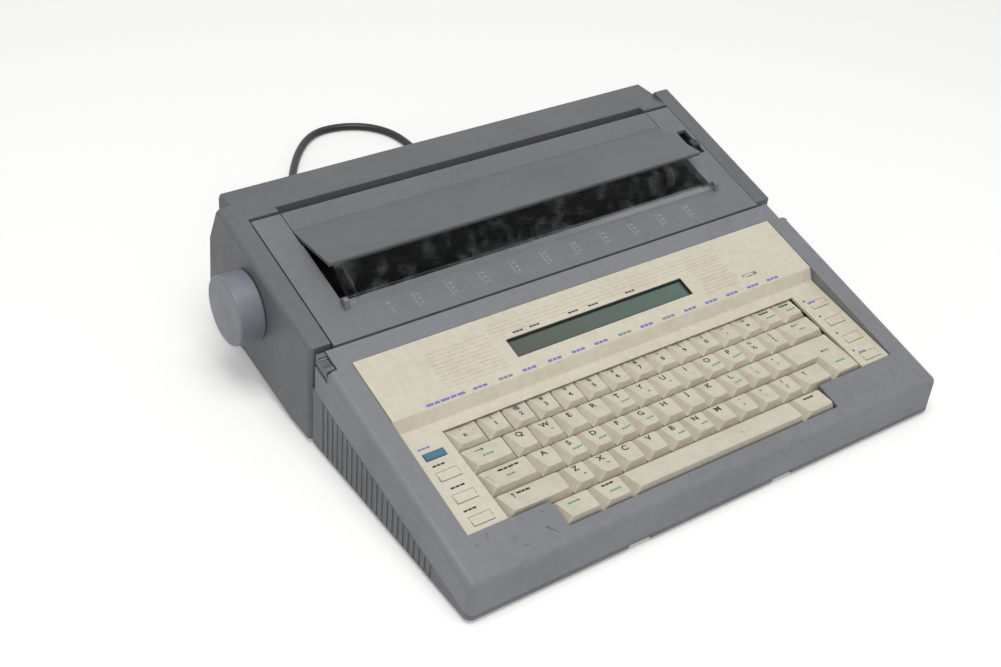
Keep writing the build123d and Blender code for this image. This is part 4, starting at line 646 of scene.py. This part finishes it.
# %% Lip of the key well
row_starts = {1: 1.2845, 2: 1.7102, 3: 1.9596, 4: 2.5118}
back_row_caps = 14
well_space = 0.6
well_back = 5 * key_pitch + well_space
well_right = (row_starts[1] + back_row_caps) * key_pitch + well_space
lip_back = well_back + 0.2
lip_front = well_back - 3.3
lip_top = 0.98
lip_under = lip_top - 0.9
lip_profile = [(lip_back, lip_top), (lip_front + 0.5, lip_top), (lip_front + 0.12, 0.86),
               (lip_front, 0.55), (lip_front, lip_under), (lip_back, lip_under)]
well_lip = trim_piece("well_lip", [
    [on_keys(x, s, t).translation for s, t in lip_profile] for x in (-well_space, well_right)],
    panel_abs)
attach(well_lip, "case")

# %% [markdown]
# ## Inks
# The marks are pad printed: a soft pad presses a thin film of ink onto the plastic. The film is
# duller than the plastic and wears a little, so each ink mixes its colour with a slightly
# lighter or darker one by a fine noise.

# %% Ink finishes


def pad_ink(name, base, worn):
    material, tree, shader, place = fresh(name)
    wear = add(tree, "ShaderNodeTexNoise", {"Vector": place, "Scale": per_mm(0.8), "Detail": 3.0})
    mix = add(tree, "ShaderNodeMix", {"Factor": wear.outputs["Fac"], "A": colour(base),
                                      "B": colour(worn)}, data_type="RGBA")
    tree.links.new(mix.outputs["Result"], shader.inputs["Base Color"])
    shader.inputs["Roughness"].default_value = 0.6
    shader.inputs["IOR"].default_value = 1.48
    return material


inks = {"dark": pad_ink("ink_dark", "#1E1E20", "#2C2C2F"),
        "green": pad_ink("ink_green", "#5C9672", "#7BAA8A"),
        "blue": pad_ink("ink_blue", "#6C6CB4", "#8484C2"),
        "white": pad_ink("ink_white", "#96979A", "#A9AAAD"),
        "grey": pad_ink("ink_grey", "#7E7F86", "#8E8F96")}
ink_order = list(inks)
print("inks", ink_order)

# %% [markdown]
# ## A printing pad
# A pad follows the shape it presses on, so each mark is made flat and then dropped onto the
# packed surface: a ray from every corner of the mark finds the plastic below it. A tree of the
# surface's faces answers such rays fast. A mark may lie on any one of several carriers. Where
# none of them lies under all its corners, as at the edge of a slot, it is left out and counted.
# All marks on one moving piece become one mesh, so it rides with that piece.

# %% Dropping marks on a surface
film = 0.05
reach_above = 6.0
reach_below = 3.0
surfaces = {}
prints = {}
missed = []


def surface_of(name):
    if name not in surfaces:
        mesh = nodes[name].data
        surfaces[name] = BVHTree.FromPolygons([v.co.copy() for v in mesh.vertices],
                                              [list(p.vertices) for p in mesh.polygons])
    return surfaces[name]


def press(carriers, ink, plane, points, faces):
    """Drops a mark's flat points (x, y, height in mm) onto the first node under all of them."""
    normal = plane.to_3x3() @ Vector((0, 0, 1))
    for node in carriers.split():
        placed = []
        for x, y, height in points:
            above = plane @ Vector((x / 1000, y / 1000, reach_above / 1000))
            hit = surface_of(node).ray_cast(above, -normal, (reach_above + reach_below) / 1000)[0]
            if hit is None:
                break
            placed.append(hit + normal * height / 1000)
        if len(placed) == len(points):
            sheet = prints.setdefault(node, {"points": [], "faces": [], "inks": []})
            first = len(sheet["points"])
            sheet["points"] += placed
            sheet["faces"] += [[first + i for i in face] for face in faces]
            sheet["inks"] += [ink_order.index(ink)] * len(faces)
            return
    missed.append(carriers)


# %% [markdown]
# Arrows, triangles and dashes are outlines with a film's thickness. Where a command key of such
# a machine carries a word, a row of short dashes stands in its place.

# %% Outlines and dashes
arrow_shaft = 0.3
arrow_head = 1.3
arrow_head_length = 1.6


def outline(carriers, ink, plane, corners):
    count = len(corners)
    points = [(x, y, film) for x, y in corners] + [(x, y, -film) for x, y in corners]
    faces = [list(range(count)), list(range(2 * count - 1, count - 1, -1))]
    for i in range(count):
        j = (i + 1) % count
        faces.append([i, i + count, j + count, j])
    press(carriers, ink, plane, points, faces)


def dashes(carriers, ink, plane, x, y, lengths, height, space=0.4):
    """A row of short bars, centred on x and y."""
    left = x - (sum(lengths) + space * (len(lengths) - 1)) / 2
    for length in lengths:
        end = left + length
        outline(carriers, ink, plane, [(left, y - height / 2), (end, y - height / 2),
                                       (end, y + height / 2), (left, y + height / 2)])
        left = end + space


def spin(shape, degrees, x=0.0, y=0.0):
    """A flat shape turned about its own zero and moved to x and y."""
    c, s = math.cos(math.radians(degrees)), math.sin(math.radians(degrees))
    return [(x + c * u - s * v, y + s * u + c * v) for u, v in shape]


def arrow(carriers, ink, plane, x, y, length, turned=0.0):
    """A plain arrow that points right, or turned by so many degrees."""
    tip = length / 2
    neck = tip - arrow_head_length
    shape = [(-tip, -arrow_shaft), (neck, -arrow_shaft), (neck, -arrow_head), (tip, 0),
             (neck, arrow_head), (neck, arrow_shaft), (-tip, arrow_shaft)]
    outline(carriers, ink, plane, spin(shape, turned, x, y))


# %% [markdown]
# Letters and digits come from Blender's own font. A text curve is turned to a mesh, centred on
# its own box and pressed on like any other mark.

# %% Letters
letter_forms = {}
cap_share = 0.72


def letter_form(text, height, weight):
    key = (text, height, weight)
    if key not in letter_forms:
        curve = bpy.data.curves.new("letters", "FONT")
        curve.body = text
        curve.size = height / cap_share
        curve.extrude = film
        curve.offset = weight
        curve.resolution_u = 4
        thing = bpy.data.objects.new("letters", curve)
        mesh = bpy.data.meshes.new_from_object(thing)
        xs = [v.co.x for v in mesh.vertices]
        ys = [v.co.y for v in mesh.vertices]
        x, y = (min(xs) + max(xs)) / 2, (min(ys) + max(ys)) / 2
        letter_forms[key] = ([(v.co.x - x, v.co.y - y, v.co.z) for v in mesh.vertices],
                             [list(p.vertices) for p in mesh.polygons])
        bpy.data.objects.remove(thing)
        bpy.data.meshes.remove(mesh)
    return letter_forms[key]


def letter(carriers, ink, plane, text, x, y, height, weight):
    points, faces = letter_form(text, height, weight)
    press(carriers, ink, plane, [(x + u, y + v, w) for u, v, w in points], faces)


# %% [markdown]
# ## Key legends
# A cap's top leans back by 14 degrees against the slope of the keyboard, so each cap gets its
# own small plane at the front edge of its top. Letters stand left of the middle, and the two
# marks of a digit key one above the other.

# %% Caps with letters and digits
key_front_rise = 4.8
key_row_fall = 0.65
key_front_inset = 1.6
key_top_slope = math.radians(14)
letter_y, letter_height, letter_weight = 12.9, 4.4, 0.16
digit_y, digit_height, digit_weight = 7.4, 3.7, 0.14
sign_y, sign_height, sign_weight = 13.2, 3.1, 0.12
rows = {
    "number_row_keys": (1, ["1!", "2@", "3#", "4$", "5%", "6¢", "7&", "8*", "9(", "0)", "-_",
                            "=+"]),
    "qwerty_row_keys": (2, list("QWERTYUIOP") + ["½¼", "[]"]),
    "home_row_keys": (3, list("ASDFGHJKL") + [";:", "'\""]),
    "bottom_row_keys": (4, list("ZXCVBNM") + [",'", ".°", "/?"]),
}
green_marks = {"T": (2.6, 2.2, 2.4), "Y": (2.2,), "O": (2.2, 2.6, 1.8), "P": (2.8, 2.0, 2.2),
               "S": (2.2, 2.6, 2.0), "D": (2.8, 2.6), "F": (2.4, 2.0, 2.4), "G": (2.2, 2.8),
               "L": (2.4, 2.2, 2.6), "B": (2.4, 2.2), "N": (2.2, 2.0), "Z": (2.0,)}
dark_marks = {"W": (1.8,), "U": (1.8,), "X": (1.8,)}


def cap_top(x, row):
    """The plane of a cap's top: x in pitches from the left edge of the keys, row from the back."""
    rise = key_front_rise - key_row_fall * (5 - row)
    start = (5 - row) * key_pitch + key_front_inset
    return on_keys(x * key_pitch, start, rise) @ Matrix.Rotation(-key_top_slope, 4, "X")


for node, (row, legends) in rows.items():
    for index, legend in enumerate(legends):
        plane = cap_top(row_starts[row] + index + 0.5, row)
        if len(legend) == 1:
            letter(node, "dark", plane, legend, 0.2, letter_y, letter_height, letter_weight)
        else:
            letter(node, "dark", plane, legend[0], 0.0, digit_y, digit_height, digit_weight)
            letter(node, "dark", plane, legend[1], 0.2, sign_y, sign_height, sign_weight)
        if legend in green_marks:
            dashes(node, "green", plane, 2.6, 6.2, green_marks[legend], 1.5)
        if legend in dark_marks:
            dashes(node, "grey", plane, 2.2, 7.2, dark_marks[legend], 1.2)
print("legends", {name: len(sheet["faces"]) for name, sheet in prints.items()})

# %% [markdown]
# ## Command keys
# The wide keys of the real machine carry words. Here they carry plain arrows and dashes, in the
# same inks and at the same places. The table gives the middle of each wide cap, in pitches from
# the left edge of the keys, and its row. The three keys that start a row reach from that edge
# to the first letter.

# %% Marks on the wide keys
code_left, code_width, word_width = 1.496, 1.4488, 1.2389
correct_left, correct_right = 11.6273, 13.0656
wide_caps = {"tab_key": (row_starts[2] / 2, 2), "shift_lock_key": (row_starts[3] / 2, 3),
             "left_shift_key": (row_starts[4] / 2, 4), "right_shift_key": (13.235, 4),
             "backspace_key": (14.497, 2), "return_key": (14.62, 4),
             "code_key": (code_left + code_width / 2, 5),
             "word_key": (code_left + code_width + word_width / 2, 5),
             "correct_key": ((correct_left + correct_right) / 2, 5), "space_bar": (7.9055, 5)}
tops = {name: cap_top(middle, row) for name, (middle, row) in wide_caps.items()}

first_cap = cap_top(row_starts[1] / 2, 1)
letter("number_row_keys", "dark", first_cap, "±", -1.0, digit_y, 3.4, sign_weight)
letter("number_row_keys", "dark", first_cap, "°", -1.0, sign_y, 1.6, sign_weight)
for index in (12, 13):
    late_cap = cap_top(row_starts[1] + index + 0.5, 1)
    dashes("number_row_keys", "dark", late_cap, 0.0, 12.8, (2.6, 2.2, 2.4), 1.5)
    dashes("number_row_keys", "green", late_cap, 1.4, 6.8, (2.2, 2.8, 2.0), 1.5)
arrow("tab_key", "dark", tops["tab_key"], -3.4, 13.2, 6.4)
dashes("tab_key", "green", tops["tab_key"], -0.6, 7.4, (2.4, 2.0, 2.6), 1.5)
lock_top = tops["shift_lock_key"]
dashes("shift_lock_key", "dark", lock_top, 2.5, 13.2, (3.6, 2.6, 3.8, 2.8), 1.6, space=0.7)
dashes("shift_lock_key", "green", lock_top, 0.5, 7.0, (2.6, 2.8), 1.5)
outline("shift_lock_key", "dark", lock_top,
        [(-15.9, 4.6), (-12.9, 4.6), (-12.9, 11.4), (-15.9, 11.4)])
arrow("left_shift_key", "dark", tops["left_shift_key"], -12.5, 12.0, 4.6, turned=90)
dashes("left_shift_key", "dark", tops["left_shift_key"], -5.0, 12.8, (3.2, 2.6, 3.0), 1.6)
arrow("right_shift_key", "dark", tops["right_shift_key"], -3.6, 12.0, 4.6, turned=90)
arrow("backspace_key", "dark", tops["backspace_key"], -1.0, 13.0, 6.5, turned=180)
dashes("backspace_key", "grey", tops["backspace_key"], 1.0, 7.4, (2.4, 2.0), 1.3)
arrow("return_key", "dark", tops["return_key"], -1.5, 22.0, 7.0, turned=180)
dashes("return_key", "green", tops["return_key"], 0.5, 9.0, (2.6, 2.2, 2.4), 1.5)
dashes("code_key", "green", tops["code_key"], -1.0, 11.0, (3.0, 2.4, 2.8), 1.7)
dashes("word_key", "dark", tops["word_key"], 0.0, 13.2, (2.8, 2.4, 2.8), 1.5)
dashes("word_key", "green", tops["word_key"], 1.2, 6.8, (2.6, 2.6, 2.0), 1.5)
dashes("correct_key", "dark", tops["correct_key"], 0.0, 12.8, (2.8, 2.2, 2.6), 1.6)
dashes("space_bar", "grey", tops["space_bar"], 21.4, 8.0, (0.9,), 0.9)
print("sheets", len(prints))

# %% [markdown]
# ## Panel marks
# Beside the button column, and above the buttons on the deck, the panel carries short labels in
# black, blue and grey. Dashes of the same length and tone stand for them, and plain triangles
# show the ways of the four arrow buttons.

# %% Marks in the key plane
panel_lift = 1.0
panel_carriers = "keyboard_panel function_buttons arrow_buttons"
panel_marks = [(-18.2, 85.4, "blue", (2.6, 2.2, 2.4)), (-16.6, 70.9, "dark", (2.6, 2.2, 2.6)),
               (-14.9, 52.4, "dark", (3.0, 2.6, 3.0)), (-17.5, 34.8, "dark", (2.6, 2.4, 2.6)),
               (-14.1, 66.1, "blue", (3.2, 2.6, 3.4)), (-14.8, 48.3, "blue", (3.4, 2.6, 3.2)),
               (-14.1, 30.7, "blue", (3.0, 3.2, 2.6)), (301.7, 82.6, "blue", (2.8, 2.4)),
               (301.6, 65.5, "blue", (2.6, 2.6)), (302.4, 47.5, "blue", (3.0, 2.2)),
               (302.2, 30.5, "blue", (2.4, 2.8))]
for x, s, ink, lengths in panel_marks:
    dashes(panel_carriers, ink, on_keys(x, s, panel_lift), 0, 0, lengths, 1.3, space=0.5)
triangle = ((-0.8, -1.2), (1.1, 0.0), (-0.8, 1.2))
arrow_ways = [(297.1, 86.0, 90), (297.7, 69.0, -90), (297.5, 51.4, 180), (297.0, 33.7, 0)]
for x, s, turned in arrow_ways:
    outline("keyboard_panel", "dark", on_keys(x, s, panel_lift), spin(triangle, turned))
print("panel marks", len(panel_marks), "bars left out", len(missed))

# %% [markdown]
# The deck part of the panel has one label above each button, a long one at its left end, and a
# few short ones in black above the display.

# %% Marks on the deck panel
deck_label_y = 116.0
deck_label_height = 1.9
display_label_y = 144.3
deck_labels = [(-109.1, "blue"), (-89.8, "grey"), (-71.6, "blue"), (-51.7, "blue"),
               (-32.8, "blue"), (-14.3, "blue"), (5.5, "grey"), (24.0, "blue"), (43.1, "grey"),
               (62.1, "blue"), (81.1, "blue"), (100.2, "blue"), (119.5, "blue"),
               (138.1, "blue")]
for x, ink in deck_labels:
    dashes("keyboard_panel", ink, on_deck(x, deck_label_y), 0, 0, (3.2, 2.6, 3.4),
           deck_label_height, space=0.6)
dashes("keyboard_panel", "blue", on_deck(-134.2, deck_label_y), 0, 0, (5.0, 3.6, 6.2, 4.0, 5.6),
       deck_label_height, space=0.9)
for x in (-61.4, -48.2, -16.9, -0.2, 31.2):
    dashes("keyboard_panel", "dark", on_deck(x, display_label_y), 0, 0, (2.6, 2.2, 2.4), 1.2)
print("deck labels", len(deck_labels))

# %% [markdown]
# ## Margin scale on the lid
# In front of the paper window the lid carries a scale in pale ink: a tall tick at every inch,
# with the column numbers for ten, twelve and fifteen letters to the inch beside it, and small
# dots for the columns between.

# %% Scale
inch = 25.4
pitches = (10, 12, 15)
scale_left_x = -109.7
scale_names_x = -128
scale_inches = 10
scale_low_y = 185.6
scale_high_y = 197.0
scale_y = (scale_low_y + scale_high_y) / 2
tick_height = (scale_high_y - scale_low_y) / math.cos(deck_slope)
dot_y = -5.7
number_height = 2.0
number_weight = 0.02
number_lines = [3.9 - 3.7 * line for line in range(len(pitches))]
for k in range(scale_inches):
    plane = on_deck(scale_left_x + inch * k, scale_y)
    dashes("top_lid", "white", plane, 0, 0, (0.45,), tick_height)
    dashes("top_lid", "white", plane, 0.4, dot_y, (1.6,), 0.45)
    for y, pitch in zip(number_lines, pitches):
        letter("top_lid", "white", plane, str(pitch * (k + 1)), 3.2, y, number_height,
               number_weight)
    if k + 1 < scale_inches:
        for dot in range(1, 10):
            dashes("top_lid", "white", plane, inch * dot / 10, dot_y, (0.5,), 0.4)
for y, pitch in zip(number_lines, pitches):
    letter("top_lid", "white", on_deck(scale_names_x, scale_y), str(pitch), 0, y, number_height,
           number_weight)
print("scale ticks", scale_inches, "marks left out", len(missed), sorted(set(missed)))

# %% [markdown]
# Every sheet of marks becomes one mesh, with one material slot for each ink, and rides on the
# body that carries the node it is printed on.

# %% Print pieces
print_bodies = {"keyboard_panel": "case", "top_lid": "lid"}
for node, sheet in prints.items():
    mesh = bpy.data.meshes.new("print_" + node)
    mesh.from_pydata([tuple(p) for p in sheet["points"]], [], sheet["faces"])
    for ink in ink_order:
        mesh.materials.append(inks[ink])
    for polygon, index in zip(mesh.polygons, sheet["inks"]):
        polygon.material_index = index
    mesh.update()
    piece = put("print_" + node, mesh)
    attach(piece, print_bodies.get(node, node + "_body"))
print("print pieces", len(prints))

# %% [markdown]
# ## Studio
# A plain pale floor, a soft key light from above the left front, a weak fill from the front and
# an even world match the light of the photograph. The floor and the world are white only to
# rays that the eye sees, directly or in a reflection, so they don't brighten the object beyond
# its written colours, and the floor keeps the object's shadow.

# %% Floor
floor_half = 6.0
floor_glow = 0.25


def seen_by_eye(tree):
    """One for camera, glossy and transmission rays, and nothing for the rays that light."""
    path = add(tree, "ShaderNodeLightPath")
    glossy = add(tree, "ShaderNodeMath", {0: path.outputs["Is Camera Ray"],
                                          1: path.outputs["Is Glossy Ray"]}, operation="MAXIMUM")
    either = add(tree, "ShaderNodeMath", {0: glossy.outputs[0],
                                          1: path.outputs["Is Transmission Ray"]},
                 operation="MAXIMUM")
    return either.outputs[0]


floor_mesh = bpy.data.meshes.new("floor")
form = bmesh.new()
bmesh.ops.create_grid(form, x_segments=2, y_segments=2, size=floor_half)
form.to_mesh(floor_mesh)
form.free()
floor = put("floor", floor_mesh)
floor_material, floor_tree, floor_shader, _ = fresh("floor_paper")
floor_shader.inputs["Base Color"].default_value = colour("#F2F2F0")
floor_shader.inputs["Roughness"].default_value = 0.9
floor_shader.inputs["Emission Color"].default_value = (1.0, 1.0, 1.0, 1.0)
lift = add(floor_tree, "ShaderNodeMath", {0: seen_by_eye(floor_tree), 1: floor_glow},
           operation="MULTIPLY")
floor_tree.links.new(lift.outputs[0], floor_shader.inputs["Emission Strength"])
floor_mesh.materials.append(floor_material)
print("floor metres across", 2 * floor_half)

# %% [markdown]
# The world lights evenly from all sides. Both lamps are discs 1.2 metres wide, so their shadows
# are soft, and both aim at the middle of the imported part.

# %% World and lamps
world_light = 0.40
lamp_size = 1.2
lamp_aim = Vector((0.0, 0.0, 0.05))


def lamp(name, place, power):
    data = bpy.data.lights.new(name, "AREA")
    data.shape = "DISK"
    data.size = lamp_size
    data.energy = power
    thing = put(name, data)
    thing.location = place
    thing.rotation_euler = (lamp_aim - Vector(place)).to_track_quat("-Z", "Y").to_euler()


world = bpy.data.worlds.new("studio")
bpy.context.scene.world = world
world.use_nodes = True
sky = world.node_tree.nodes["Background"]
sky.inputs["Color"].default_value = (1.0, 1.0, 1.0, 1.0)
level = add(world.node_tree, "ShaderNodeMapRange", {"Value": seen_by_eye(world.node_tree),
                                                    "To Min": world_light, "To Max": 1.0})
world.node_tree.links.new(level.outputs[0], sky.inputs["Strength"])
lamp("key_light", (-0.25, -0.35, 1.9), 19.5)
lamp("front_fill", (-0.5, -1.6, 0.9), 2.5)
bpy.context.scene.view_settings.view_transform = "Standard"
